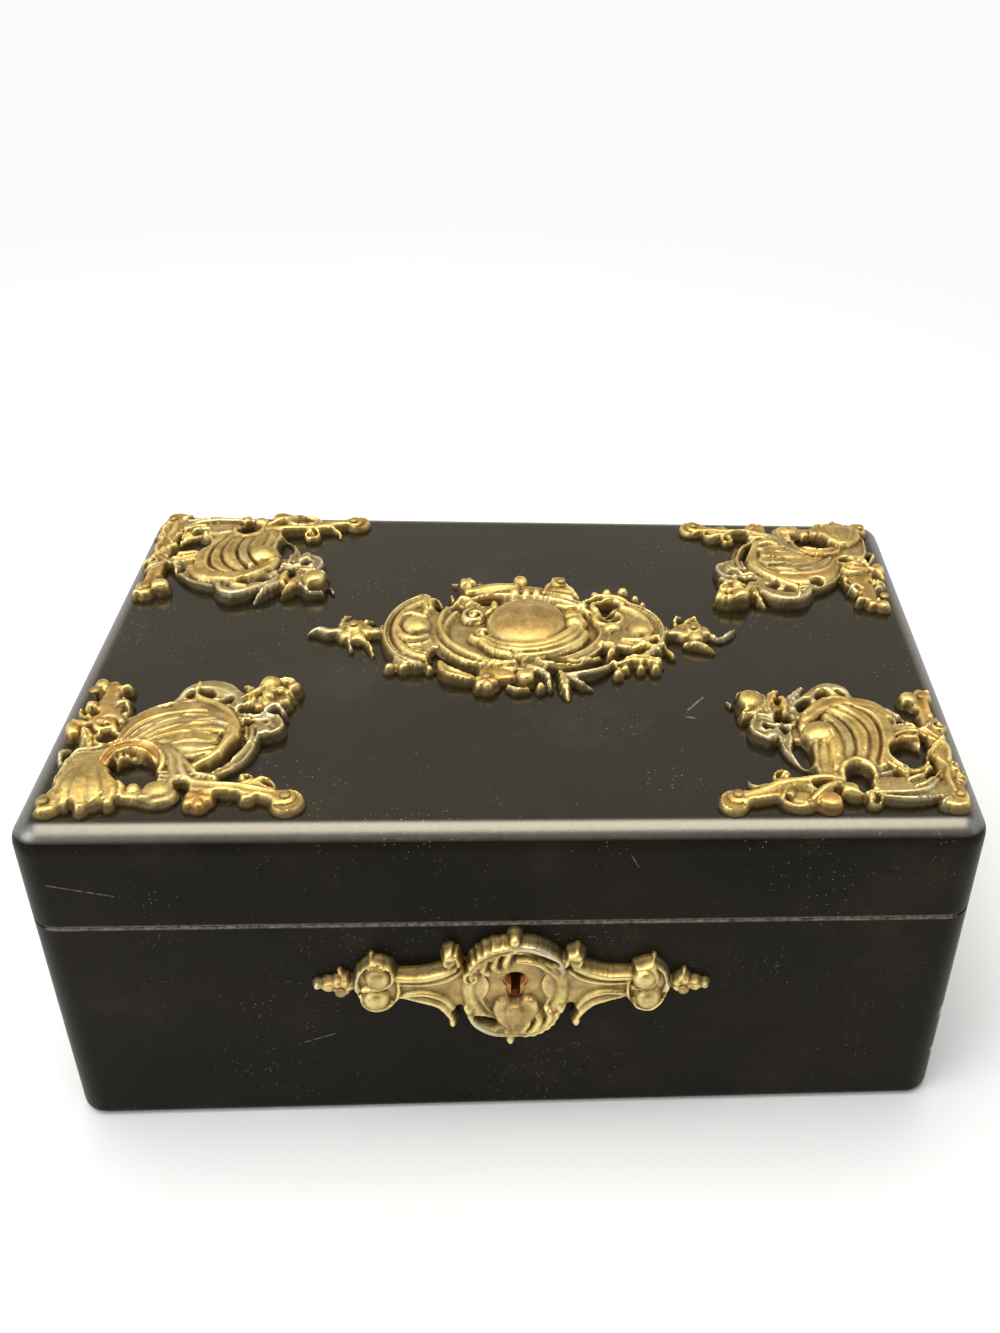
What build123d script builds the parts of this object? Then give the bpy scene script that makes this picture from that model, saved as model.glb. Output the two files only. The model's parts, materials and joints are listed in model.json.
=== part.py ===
from build123d import *

import os
from collections import namedtuple
from math import atan, degrees, radians, tan

# A jewelry casket: ebonised wood, gilt brass mounts, velvet lining, a box lock and two butt hinges.
# Millimetres. The origin is the middle of the underside, +X to the right, +Y to the back, +Z up.

# Carcass
case_length = 250.0
case_depth = 160.0
base_height = 77.0
lid_height = 32.0
wall_thickness = 10.0
bottom_thickness = 6.0
bottom_rebate = 4.0
lid_top_thickness = 8.0
corner_radius = 8.0
top_edge_radius = 6.5
bottom_edge_radius = 3.0
joint_edge_radius = 0.7

# Hinges
hinge_inset = 3.0
hinge_offset = 75.0
hinge_length = 30.0
lid_stop_angle = 95.0
leaf_thickness = 1.0
leaf_gap = 0.1
knuckle_radius = 1.8
knuckle_count = 5
knuckle_gap = 0.15
knuckle_clearance = 0.25
hinge_pin_radius = 0.8
hinge_pin_clearance = 0.05
hinge_screw_pitch = 10.0

# Screws and pins
screw_radius = 0.8
screw_head_radius = 1.7
screw_length = 6.5
screw_slot_width = 0.5
screw_slot_depth = 0.35
fastener_gap = 0.05
mount_pin_radius = 0.6
mount_pin_head_radius = 1.5
mount_pin_head_height = 0.7
mount_pin_bite = 5.0

# Lock
keyhole_height = 55.5
keyhole_radius = 3.0
keyhole_slot_width = 2.6
keyhole_slot_drop = 8.0
lock_wall = 3.0
lock_plate_width = 52.0
lock_plate_drop = 36.0
lock_plate_thickness = 1.2
selvedge_thickness = 1.5
lock_case_width = 40.0
lock_case_drop = 32.0
lock_case_wall = 0.8
key_tip_radius = 1.5
lock_screw_inset = 3.0
lock_screw_drop = 8.0
lock_screw_spacing = 20.0

# Link plate and bolt
lug_spacing = 16.0
lug_thickness = 2.0
lug_width = 3.6
lug_drop = 8.5
lug_foot = 1.2
lug_window_width = 1.8
lug_window_height = 3.2
lug_slot_gap = 0.6
link_plate_thickness = 1.5
link_screw_inset = 4.0
bolt_travel = 5.0
bolt_thickness = 1.4
bolt_bar_height = 7.9
bolt_bar_gap = 0.6
bolt_tip_gap = 0.6
bolt_tip_length = 5.0
bolt_tip_height = 2.6
bolt_post_width = 2.4
bolt_talon_width = 5.0
bolt_talon_depth = 2.5
guide_stud_radius = 1.0
guide_stud_gap = 0.1
spring_thickness = 0.5
spring_width = 3.0
spring_gap = 0.1

# Lining
lining_thickness = 2.0
lining_gap = 0.2
lining_setback = 1.5
lock_window_gap = 0.6
floor_pad_thickness = 6.0
lid_pad_thickness = 5.0
pad_corner_radius = 3.0

# Gilt mounts
corner_band_width = 4.5
cartouche_shift = 4.5
escutcheon_height = 53.5
draft_share = 0.45

# Values worked out from the sizes above
half_length = case_length / 2
half_depth = case_depth / 2
case_height = base_height + lid_height
lid_top_seam = case_height - lid_top_thickness
inner_front = -half_depth + wall_thickness
axis_y = half_depth - hinge_inset
leaf_reach = wall_thickness - hinge_inset
leaf_plate_width = leaf_reach - knuckle_radius - knuckle_clearance
inner_length = case_length - 2 * wall_thickness
inner_depth = case_depth - 2 * wall_thickness
mortise_front = -half_depth + lock_wall
lock_plate_front = inner_front - lock_plate_thickness
lug_y = (mortise_front + lock_case_wall + lock_plate_front) / 2
bolt_top = base_height - lug_drop - bolt_bar_gap
bolt_bottom = bolt_top - bolt_bar_height
window_middle = base_height - lug_drop + lug_foot + lug_window_height / 2
lug_places = [-lug_spacing / 2, lug_spacing / 2]

os.makedirs("parts", exist_ok=True)


def save(piece, name):
    piece.label = name
    export_step(piece, f"parts/{name}.step")


# Carcass: two rounded blocks, later cut into mitred boards
def rounded_block(low, high, top_radius, foot_radius):
    """The outer form of the base or of the lid."""
    with BuildPart() as block:
        with BuildSketch(Plane.XY.offset(low)):
            RectangleRounded(case_length, case_depth, corner_radius)
        extrude(amount=high - low)
        fillet(block.edges().group_by(Axis.Z)[-1], radius=top_radius)
        fillet(block.edges().group_by(Axis.Z)[0], radius=foot_radius)
    return block.part


def back_bevel(side):
    """The wedge taken off along the back, from the hinge axis out; side is 1 for the lid, -1 for the base."""
    reach = 2 * hinge_inset
    rise = side * reach * tan(radians(lid_stop_angle / 2))
    with BuildPart() as bevel:
        with BuildSketch(Plane.YZ):
            with BuildLine():
                Polyline(
                    (axis_y, base_height),
                    (axis_y + reach, base_height),
                    (axis_y + reach, base_height + rise),
                    close=True,
                )
            make_face()
        extrude(amount=case_length, both=True)
    return bevel.part


outer_corners = [
    (-half_length, -half_depth),
    (half_length, -half_depth),
    (half_length, half_depth),
    (-half_length, half_depth),
]
inner_corners = [
    (-inner_length / 2, -inner_depth / 2),
    (inner_length / 2, -inner_depth / 2),
    (inner_length / 2, inner_depth / 2),
    (-inner_length / 2, inner_depth / 2),
]
board_sides = {"front": 0, "right": 1, "back": 2, "left": 3}


def mitred_board(block, side, low, high):
    """One wall of the block, cut at 45 degrees where it meets its neighbours."""
    start = board_sides[side]
    end = (start + 1) % 4
    with BuildPart() as board:
        add(block)
        with BuildSketch(Plane.XY.offset(low)):
            with BuildLine():
                Polyline(
                    outer_corners[start],
                    outer_corners[end],
                    inner_corners[end],
                    inner_corners[start],
                    close=True,
                )
            make_face()
        extrude(amount=high - low, mode=Mode.INTERSECT)
    return board.part


with BuildPart() as base_block:
    add(rounded_block(0, base_height, joint_edge_radius, bottom_edge_radius))
    add(back_bevel(-1), mode=Mode.SUBTRACT)
    with BuildSketch():
        Rectangle(inner_length + 2 * bottom_rebate, inner_depth + 2 * bottom_rebate)
    extrude(amount=bottom_thickness, mode=Mode.SUBTRACT)

with BuildPart() as lid_block:
    add(rounded_block(base_height, case_height, top_edge_radius, joint_edge_radius))
    add(back_bevel(1), mode=Mode.SUBTRACT)

with BuildPart() as base_bottom_board:
    with BuildSketch():
        Rectangle(inner_length + 2 * bottom_rebate, inner_depth + 2 * bottom_rebate)
    extrude(amount=bottom_thickness)
save(base_bottom_board.part, "base_bottom_board")


# Fasteners: a countersunk slotted screw and a round-headed brass pin, both pointing down from their plane
def screw_body(radius, head_radius, length):
    """Shank and countersunk head, with the head's flat face on the plane."""
    head_depth = head_radius - radius
    with BuildPart() as body:
        with BuildSketch(Plane.XZ):
            with BuildLine():
                Polyline(
                    (0, 0),
                    (head_radius, 0),
                    (radius, -head_depth),
                    (radius, -length),
                    (0, -length),
                    close=True,
                )
            make_face()
        revolve(axis=Axis.Z)
    return body.part


def screw_set(places, turn=0):
    """Screws at the given planes, each with its slot cut across the head."""
    with BuildPart() as screws:
        for place in places:
            with Locations(Location(place) * Rotation(0, 0, turn)):
                add(screw_body(screw_radius, screw_head_radius, screw_length))
                Box(
                    2 * screw_head_radius,
                    screw_slot_width,
                    2 * screw_slot_depth,
                    mode=Mode.SUBTRACT,
                )
    return screws.part


def screw_holes(places):
    """The countersunk holes that the screws sit in, a little wider than the screws."""
    with BuildPart() as holes:
        for place in places:
            with Locations(Location(place)):
                add(
                    screw_body(
                        screw_radius + fastener_gap,
                        screw_head_radius + fastener_gap,
                        screw_length + fastener_gap,
                    )
                )
    return holes.part


def pin_set(places):
    """Round-headed pins: each place is a plane on the mount and the height of its seat."""
    with BuildPart() as pins:
        for place, seat in places:
            sphere_radius = mount_pin_head_radius**2 / (2 * mount_pin_head_height) + mount_pin_head_height / 2
            with BuildSketch(place * Plane.XZ):
                with BuildLine():
                    head = Polyline(
                        (0, seat + mount_pin_head_height),
                        (0, -mount_pin_bite),
                        (mount_pin_radius, -mount_pin_bite),
                        (mount_pin_radius, seat),
                        (mount_pin_head_radius, seat),
                    )
                    RadiusArc(head @ 1, head @ 0, -sphere_radius)
                make_face()
            revolve(axis=Axis(place.origin, place.z_dir))
    return pins.part


def pin_holes(places):
    """The holes that the pins pass through, in the mount and in the wood."""
    with BuildPart() as holes:
        for place, seat in places:
            with BuildSketch(place.offset(-mount_pin_bite)):
                Circle(mount_pin_radius + fastener_gap)
            extrude(amount=mount_pin_bite + seat)
    return holes.part


# Ornament: each mount is built from bars, arcs, rings, bosses and leaves that run into each other
Bar = namedtuple("Bar", "x0 y0 x1 y1 width rise")
Arc = namedtuple("Arc", "x y radius start sweep width rise")
Ring = namedtuple("Ring", "x y long short width rise")
Boss = namedtuple("Boss", "x y long short turn rise")
Leaf = namedtuple("Leaf", "x0 y0 x1 y1 width rise")
Pin = namedtuple("Pin", "x y rise")


def draft(width, rise):
    """The taper that narrows a form of this width by its draft share at the top."""
    return degrees(atan(draft_share * width / 2 / rise))


def ornament(plane, forms):
    """One cast mount: every form stands on the plane and leans in a little towards its top."""
    with BuildPart() as mount:
        for form in forms:
            with BuildSketch(plane):
                if isinstance(form, Bar):
                    with BuildLine(mode=Mode.PRIVATE):
                        middle = Line((form.x0, form.y0), (form.x1, form.y1))
                    SlotArc(middle, form.width)
                    lean = draft(form.width, form.rise)
                elif isinstance(form, Arc):
                    with BuildLine(mode=Mode.PRIVATE):
                        middle = CenterArc((form.x, form.y), form.radius, form.start, form.sweep)
                    SlotArc(middle, form.width)
                    lean = draft(form.width, form.rise)
                elif isinstance(form, Ring):
                    with Locations((form.x, form.y)):
                        Ellipse(form.long, form.short)
                        Ellipse(form.long - form.width, form.short - form.width, mode=Mode.SUBTRACT)
                    lean = 0
                elif isinstance(form, Boss):
                    with Locations((form.x, form.y)):
                        Ellipse(form.long, form.short, rotation=form.turn)
                    lean = draft(2 * min(form.long, form.short), form.rise)
                else:
                    along = Vector(form.x1 - form.x0, form.y1 - form.y0)
                    middle_x = (form.x0 + form.x1) / 2
                    middle_y = (form.y0 + form.y1) / 2
                    side_x = -along.Y / along.length * form.width / 2
                    side_y = along.X / along.length * form.width / 2
                    with BuildLine():
                        ThreePointArc(
                            (form.x0, form.y0),
                            (middle_x + side_x, middle_y + side_y),
                            (form.x1, form.y1),
                        )
                        ThreePointArc(
                            (form.x1, form.y1),
                            (middle_x - side_x, middle_y - side_y),
                            (form.x0, form.y0),
                        )
                    make_face()
                    lean = 0
            extrude(amount=form.rise, taper=lean)
    return mount.part


# Corner mount with a flowing shell, measured from the casket's corner: x along the front, y to the back
band = corner_band_width
flowing_forms = [
    Ring(36.0, 35.5, 19.0, 17.0, band, 3.6),
    Boss(32.0, 37.0, 14.5, 10.0, -12, 5.5),
    Boss(41.0, 31.0, 7.0, 7.5, 0, 6.5),
    Arc(26.0, 21.5, 7.5, -15, 210, 3.8, 4.2),
    Boss(15.5, 14.5, 8.5, 7.0, 0, 6.0),
    Boss(8.0, 10.0, 2.8, 2.8, 0, 3.0),
    Boss(19.5, 9.0, 2.8, 2.4, 0, 2.6),
    Boss(25.0, 11.0, 3.6, 2.6, 20, 3.0),
    Boss(34.0, 13.0, 4.8, 4.4, 0, 4.2),
    Bar(24.0, 13.0, 34.0, 13.5, 4.6, 2.6),
    Boss(44.0, 11.8, 4.8, 4.4, 0, 3.4),
    Bar(38.0, 20.0, 44.0, 14.0, 6.0, 2.8),
    Bar(44.0, 14.8, 63.0, 12.4, 4.8, 3.5),
    Boss(54.5, 18.6, 2.8, 2.8, 0, 3.2),
    Boss(60.0, 16.4, 3.6, 3.2, 0, 3.4),
    Boss(57.0, 11.4, 2.8, 2.4, 0, 3.0),
    Boss(67.0, 11.2, 4.4, 4.3, 0, 3.5),
    Bar(12.0, 16.0, 12.0, 32.0, 8.5, 2.4),
    Bar(11.5, 30.0, 11.5, 52.0, 7.6, 3.2),
    Boss(8.2, 41.0, 3.6, 5.2, 12, 4.2),
    Boss(16.5, 37.5, 4.4, 4.0, 0, 4.8),
    Boss(8.4, 54.5, 3.2, 3.2, 0, 3.5),
    Boss(14.2, 53.5, 3.0, 3.6, 0, 4.4),
    Boss(5.8, 29.5, 2.2, 2.4, 0, 3.0),
    Boss(39.0, 49.0, 8.0, 4.6, -8, 4.8),
    Bar(47.0, 46.5, 57.0, 50.0, 6.4, 4.4),
    Boss(58.6, 51.0, 6.6, 4.2, 24, 6.4),
    Bar(55.0, 47.0, 56.0, 39.5, 8.0, 4.2),
    Bar(49.0, 42.0, 55.0, 42.0, 5.0, 3.4),
]
flowing_pins = [Pin(67.0, 11.2, 3.5), Pin(8.4, 54.5, 3.5), Pin(8.0, 10.0, 3.0)]

# Corner mount with a standing shell, drawn for the same corner and mirrored to the other one
standing_forms = [
    Ring(33.0, 35.0, 19.0, 17.0, band, 3.6),
    Boss(29.5, 36.5, 14.0, 11.0, 0, 6.2),
    Bar(30.5, 32.0, 33.0, 23.5, 13.0, 4.6),
    Boss(41.0, 34.5, 5.6, 5.4, 0, 7.2),
    Arc(33.5, 15.5, 5.6, 0, 180, 3.4, 4.4),
    Arc(16.0, 26.0, 7.4, 50, 215, 3.8, 4.6),
    Bar(14.0, 15.5, 25.0, 15.5, 8.0, 2.6),
    Bar(13.0, 12.4, 29.0, 11.4, 2.4, 3.8),
    Boss(30.0, 10.4, 2.9, 2.7, 0, 3.6),
    Bar(8.0, 12.0, 8.5, 42.0, 6.4, 3.2),
    Bar(9.5, 40.0, 10.0, 51.0, 6.0, 3.2),
    Boss(7.5, 10.8, 3.2, 3.2, 0, 3.4),
    Boss(6.6, 22.0, 2.6, 4.0, 0, 4.2),
    Boss(6.8, 36.0, 3.0, 4.6, 0, 4.2),
    Boss(14.0, 39.0, 4.0, 3.2, 30, 4.4),
    Boss(8.6, 52.5, 3.2, 3.2, 0, 3.5),
    Boss(13.6, 50.5, 3.0, 3.0, 0, 4.4),
    Bar(38.0, 17.6, 48.0, 17.0, 6.0, 3.0),
    Ring(50.5, 12.6, 7.0, 5.0, 2.6, 3.8),
    Boss(43.0, 11.6, 5.2, 4.6, 20, 4.8),
    Bar(55.0, 14.6, 64.0, 12.6, 4.6, 3.4),
    Leaf(59.0, 13.0, 62.5, 20.4, 2.6, 3.0),
    Boss(53.0, 19.4, 3.2, 2.9, 0, 3.6),
    Boss(67.0, 10.8, 4.3, 4.2, 0, 3.5),
    Boss(37.5, 48.5, 8.0, 4.8, 8, 4.8),
    Bar(46.0, 45.5, 52.0, 51.0, 6.2, 4.4),
    Boss(59.2, 50.0, 6.0, 4.6, 0, 6.6),
    Bar(55.0, 48.0, 55.6, 39.5, 8.0, 4.2),
    Bar(49.0, 42.0, 55.0, 42.0, 5.0, 3.4),
]
standing_pins = [Pin(67.0, 10.8, 3.5), Pin(8.6, 52.5, 3.5), Pin(7.5, 10.8, 3.4)]

# Centre mount of the lid, measured from its own middle
cartouche_forms = [
    Ring(0.0, 1.0, 28.0, 23.0, 5.0, 4.2),
    Boss(0.0, 1.0, 27.0, 22.0, 0, 1.6),
    Boss(1.5, 2.5, 13.0, 13.0, 0, 8.0),
    Arc(3.0, 3.0, 16.0, 205, 130, 7.0, 6.4),
    Arc(-24.0, 2.0, 17.5, 100, 160, 5.2, 4.6),
    Boss(-31.5, 0.0, 8.0, 10.5, 0, 5.6),
    Boss(-33.0, 13.0, 4.2, 6.6, 25, 5.2),
    Boss(-32.5, -14.5, 7.0, 3.6, 0, 3.6),
    Boss(-50.0, 1.0, 7.0, 6.4, 0, 5.0),
    Bar(-44.0, 0.5, -38.0, 0.5, 5.0, 3.4),
    Boss(-46.0, -7.0, 3.4, 3.2, 40, 3.2),
    Leaf(-64.0, 0.0, -51.0, 2.0, 5.4, 3.6),
    Arc(24.0, 1.0, 18.0, -78, 156, 5.0, 4.6),
    Boss(33.5, -1.5, 8.4, 9.0, 0, 5.8),
    Boss(27.5, 13.0, 6.0, 5.0, 20, 4.6),
    Boss(37.0, -14.5, 6.6, 3.6, 10, 3.6),
    Boss(52.5, 0.5, 7.2, 6.0, 0, 5.0),
    Bar(40.0, 0.5, 48.0, 0.5, 5.4, 3.4),
    Leaf(51.0, 0.0, 66.0, 4.0, 4.4, 3.2),
    Arc(-17.0, -12.0, 11.5, 215, 90, 5.2, 4.4),
    Boss(-9.5, -24.0, 5.0, 4.4, 0, 4.4),
    Boss(1.5, -24.0, 4.6, 3.8, 0, 3.8),
    Boss(9.0, -24.5, 6.0, 3.8, 0, 3.4),
    Leaf(13.0, -20.0, 14.0, -31.5, 5.0, 2.6),
    Arc(12.0, -2.0, 19.5, 275, 60, 4.6, 3.8),
    Boss(28.0, -17.0, 2.4, 2.4, 0, 3.0),
    Boss(-18.0, 25.5, 5.4, 4.6, 0, 4.2),
    Bar(-15.0, 21.5, -3.0, 23.5, 5.0, 4.8),
    Boss(-1.5, 27.0, 3.4, 4.2, 0, 4.0),
    Boss(12.0, 27.0, 3.8, 4.2, 0, 4.2),
    Boss(10.0, 22.5, 8.0, 4.0, -10, 4.0),
    Boss(29.5, 19.5, 7.0, 3.8, -25, 4.0),
]
cartouche_pins = [Pin(-50.0, 1.0, 5.0), Pin(52.5, 0.5, 5.0), Pin(12.0, 27.0, 4.2), Pin(-9.5, -24.0, 4.4)]

# Keyhole mount of the front, measured from its own middle: x to the right, y up
escutcheon_forms = [
    Ring(0.0, 0.0, 15.5, 17.5, 4.2, 3.4),
    Boss(0.0, 0.0, 13.0, 15.0, 0, 1.4),
    Arc(0.0, 0.0, 13.6, 92, 56, 4.2, 4.8),
    Arc(0.0, 0.0, 14.4, -75, 40, 4.6, 4.2),
    Boss(0.0, -11.5, 5.8, 6.0, 0, 4.0),
    Boss(-17.0, 9.5, 3.4, 5.0, 15, 4.8),
    Boss(16.5, 9.5, 3.4, 5.0, -15, 4.8),
    Bar(-30.0, 1.8, -15.0, 1.8, 8.0, 2.4),
    Bar(15.0, 1.8, 30.0, 1.8, 8.0, 2.4),
    Arc(-29.0, 18.0, 14.5, 270, 40, 2.8, 3.8),
    Arc(29.0, 18.0, 14.5, 230, 40, 2.8, 3.8),
    Arc(-29.0, -14.5, 12.4, 0, 90, 3.6, 3.8),
    Arc(29.0, -14.5, 12.4, 90, 90, 3.6, 3.8),
    Boss(-17.2, -14.0, 2.4, 3.4, 0, 3.8),
    Boss(17.0, -14.0, 2.4, 3.4, 0, 3.8),
    Boss(-12.5, -9.5, 2.2, 2.2, 0, 3.6),
    Boss(12.5, -9.5, 2.2, 2.2, 0, 3.6),
    Boss(-37.0, 0.8, 8.4, 9.6, 0, 3.2),
    Boss(36.5, 0.2, 8.4, 9.6, 0, 3.2),
    Boss(-37.0, 4.6, 3.8, 3.6, 0, 6.0),
    Boss(-37.5, -2.4, 4.0, 3.8, 0, 6.0),
    Boss(36.5, 4.0, 3.8, 3.6, 0, 6.0),
    Boss(36.5, -3.0, 4.0, 3.8, 0, 6.0),
    Boss(-46.5, 1.6, 3.6, 4.2, 0, 3.8),
    Boss(-50.5, 1.4, 2.2, 2.4, 0, 3.2),
    Boss(-53.2, 1.2, 1.6, 1.6, 0, 2.8),
    Boss(46.0, 0.4, 3.6, 4.2, 0, 3.8),
    Boss(50.0, 0.2, 2.2, 2.4, 0, 3.2),
    Boss(52.6, 0.0, 1.6, 1.6, 0, 2.8),
    Bar(0.0, 16.0, 0.0, 19.0, 3.4, 4.2),
    Boss(0.0, 19.6, 2.2, 2.4, 0, 4.4),
    Bar(-0.6, -17.0, -0.6, -20.0, 3.0, 3.2),
    Boss(-0.6, -20.8, 1.8, 1.9, 0, 3.4),
]
escutcheon_pins = [Pin(-46.5, 1.6, 3.8), Pin(46.0, 0.4, 3.8)]
escutcheon_window_radius = 3.4
escutcheon_window_width = 5.0
escutcheon_window_drop = 7.2

corner_plane = Plane(origin=(-half_length, -half_depth, case_height))
cartouche_plane = Plane(origin=(0, cartouche_shift, case_height))
escutcheon_plane = Plane(
    origin=(0, -half_depth, escutcheon_height),
    x_dir=(1, 0, 0),
    z_dir=(0, -1, 0),
)


def seats(plane, pins):
    """The planes and seat heights of a mount's pins."""
    placed = []
    for pin in pins:
        spot = plane.shift_origin(plane.from_local_coords((pin.x, pin.y, 0)))
        placed.append((spot, pin.rise))
    return placed


def drilled(mount, holes):
    """A mount with its pin holes."""
    with BuildPart() as piece:
        add(mount)
        add(holes, mode=Mode.SUBTRACT)
    return piece.part


flowing_seats = seats(corner_plane, flowing_pins)
standing_seats = seats(corner_plane, standing_pins)
flowing_holes = pin_holes(flowing_seats)
standing_holes = pin_holes(standing_seats)
flowing_mount = drilled(ornament(corner_plane, flowing_forms), flowing_holes)
standing_mount = drilled(ornament(corner_plane, standing_forms), standing_holes)

half_turn = Axis((0, 0, 0), (0, 0, 1))
save(flowing_mount, "corner_mount_front_left")
save(flowing_mount.rotate(half_turn, 180), "corner_mount_back_right")
save(standing_mount.mirror(Plane.YZ), "corner_mount_front_right")
save(standing_mount.mirror(Plane.XZ), "corner_mount_back_left")

cartouche_seats = seats(cartouche_plane, cartouche_pins)
cartouche_holes = pin_holes(cartouche_seats)
save(drilled(ornament(cartouche_plane, cartouche_forms), cartouche_holes), "cartouche")

with BuildPart() as lid_mount_pins:
    corner_pins = pin_set(flowing_seats)
    other_pins = pin_set(standing_seats)
    add(corner_pins)
    add(corner_pins.rotate(half_turn, 180))
    add(other_pins.mirror(Plane.YZ))
    add(other_pins.mirror(Plane.XZ))
    add(pin_set(cartouche_seats))
save(lid_mount_pins.part, "lid_mount_pins")

escutcheon_seats = seats(escutcheon_plane, escutcheon_pins)
escutcheon_holes = pin_holes(escutcheon_seats)


def key_opening(radius, width, drop):
    """The outline of a keyhole on the front, round above and slotted below."""
    with BuildSketch(Plane.XZ) as opening:
        with Locations((0, keyhole_height)):
            Circle(radius)
        with Locations((0, keyhole_height - drop / 2)):
            Rectangle(width, drop)
    return opening.sketch


with BuildPart() as escutcheon:
    add(escutcheon_plane.location * ornament(Plane.XY, escutcheon_forms))
    extrude(
        key_opening(escutcheon_window_radius, escutcheon_window_width, escutcheon_window_drop),
        amount=case_depth,
        mode=Mode.SUBTRACT,
    )
    add(escutcheon_holes, mode=Mode.SUBTRACT)
save(escutcheon.part, "escutcheon")
save(pin_set(escutcheon_seats), "escutcheon_pins")


# Hinges
def hinge_screw_places(middle, side):
    """Planes on a leaf's inner face, one at each screw, facing out of the wood."""
    face_height = base_height + side * leaf_gap / 2
    screw_y = axis_y - leaf_reach + leaf_plate_width / 2
    places = []
    for step in (-1, 0, 1):
        screw_x = middle + step * hinge_screw_pitch
        places.append(Plane(origin=(screw_x, screw_y, face_height), z_dir=(0, 0, -side)))
    return places


def knuckle_spans(middle, side):
    """The X limits of one leaf's knuckles: the lower leaf has the odd ones, the upper leaf the even ones."""
    pitch = hinge_length / knuckle_count
    first = 0 if side < 0 else 1
    spans = []
    for index in range(first, knuckle_count, 2):
        start = middle - hinge_length / 2 + index * pitch + knuckle_gap / 2
        spans.append((start, start + pitch - knuckle_gap))
    return spans


def hinge_leaf(middle, side):
    """One leaf; side is 1 for the upper leaf, -1 for the lower one."""
    near = base_height + side * leaf_gap / 2
    far = near + side * leaf_thickness
    plate_start = axis_y - leaf_reach
    plate_end = plate_start + leaf_plate_width
    leaf_middle = (near + far) / 2
    with BuildPart() as leaf:
        with Locations((middle, (plate_start + plate_end) / 2, leaf_middle)):
            Box(hinge_length, leaf_plate_width, leaf_thickness)
        for start, end in knuckle_spans(middle, side):
            with Locations(((start + end) / 2, (plate_end + axis_y) / 2, leaf_middle)):
                Box(end - start, axis_y - plate_end, leaf_thickness)
            with BuildSketch(Plane.YZ.offset(start)):
                with Locations((axis_y, base_height)):
                    Circle(knuckle_radius)
            extrude(amount=end - start)
        with BuildSketch(Plane.YZ.offset(middle)):
            with Locations((axis_y, base_height)):
                Circle(hinge_pin_radius + hinge_pin_clearance)
        extrude(amount=hinge_length, both=True, mode=Mode.SUBTRACT)
        add(screw_holes(hinge_screw_places(middle, side)), mode=Mode.SUBTRACT)
    return leaf.part


def hinge_bed(middle, side):
    """What is cut from the wood for one leaf, its screws and the barrel."""
    near = base_height
    far = base_height + side * (leaf_gap / 2 + leaf_thickness)
    with BuildPart() as bed:
        with Locations((middle, axis_y - leaf_reach / 2, (near + far) / 2)):
            Box(hinge_length, leaf_reach, abs(far - near))
        with BuildSketch(Plane.YZ.offset(middle)):
            with Locations((axis_y, base_height)):
                Circle(knuckle_radius + knuckle_clearance)
        extrude(amount=hinge_length / 2 + knuckle_gap, both=True)
        add(screw_holes(hinge_screw_places(middle, side)))
    return bed.part


hinge_sides = {"left": -hinge_offset, "right": hinge_offset}
for side_name, middle in hinge_sides.items():
    save(hinge_leaf(middle, -1), f"hinge_{side_name}_lower_leaf")
    save(hinge_leaf(middle, 1), f"hinge_{side_name}_upper_leaf")
    with BuildPart() as hinge_pin:
        with BuildSketch(Plane.YZ.offset(middle)):
            with Locations((axis_y, base_height)):
                Circle(hinge_pin_radius)
        extrude(amount=hinge_length / 2, both=True)
    save(hinge_pin.part, f"hinge_{side_name}_pin")

for side, name in ((-1, "base_hinge_screws"), (1, "lid_hinge_screws")):
    places = hinge_screw_places(-hinge_offset, side) + hinge_screw_places(hinge_offset, side)
    save(screw_set(places), name)

# Lock, let into the inside of the front board
lock_screw_places = []
for screw_x in (-lock_plate_width / 2 + lock_screw_inset, lock_plate_width / 2 - lock_screw_inset):
    for screw_z in (base_height - lock_screw_drop, base_height - lock_screw_drop - lock_screw_spacing):
        spot = (screw_x, inner_front, screw_z)
        lock_screw_places.append(Plane(origin=spot, x_dir=(1, 0, 0), z_dir=(0, 1, 0)))
save(screw_set(lock_screw_places, turn=35), "lock_screws")

stud_places = [(x, bolt_bottom + bolt_bar_height / 2) for x in lug_places]

with BuildPart() as lock_plate:
    with Locations((0, inner_front - lock_plate_thickness / 2, base_height - lock_plate_drop / 2)):
        Box(lock_plate_width, lock_plate_thickness, lock_plate_drop)
    with Locations((0, (mortise_front + inner_front) / 2, base_height - selvedge_thickness / 2)):
        Box(lock_plate_width, inner_front - mortise_front, selvedge_thickness)
    with Locations(*[(x, lug_y, base_height) for x in lug_places]):
        Box(
            lug_thickness + 2 * lug_slot_gap,
            lug_width + 2 * lug_slot_gap,
            4 * selvedge_thickness,
            mode=Mode.SUBTRACT,
        )
    with BuildSketch(Plane.XZ.offset(-inner_front)):
        with Locations((0, keyhole_height)):
            Circle(key_tip_radius)
    extrude(amount=2 * lock_plate_thickness, mode=Mode.SUBTRACT)
    add(screw_holes(lock_screw_places), mode=Mode.SUBTRACT)
    with BuildSketch(Plane.XZ.offset(-lock_plate_front)):
        with Locations(*stud_places):
            Circle(guide_stud_radius)
    extrude(amount=lock_plate_front - lug_y + bolt_thickness)
save(lock_plate.part, "lock_plate")

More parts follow.
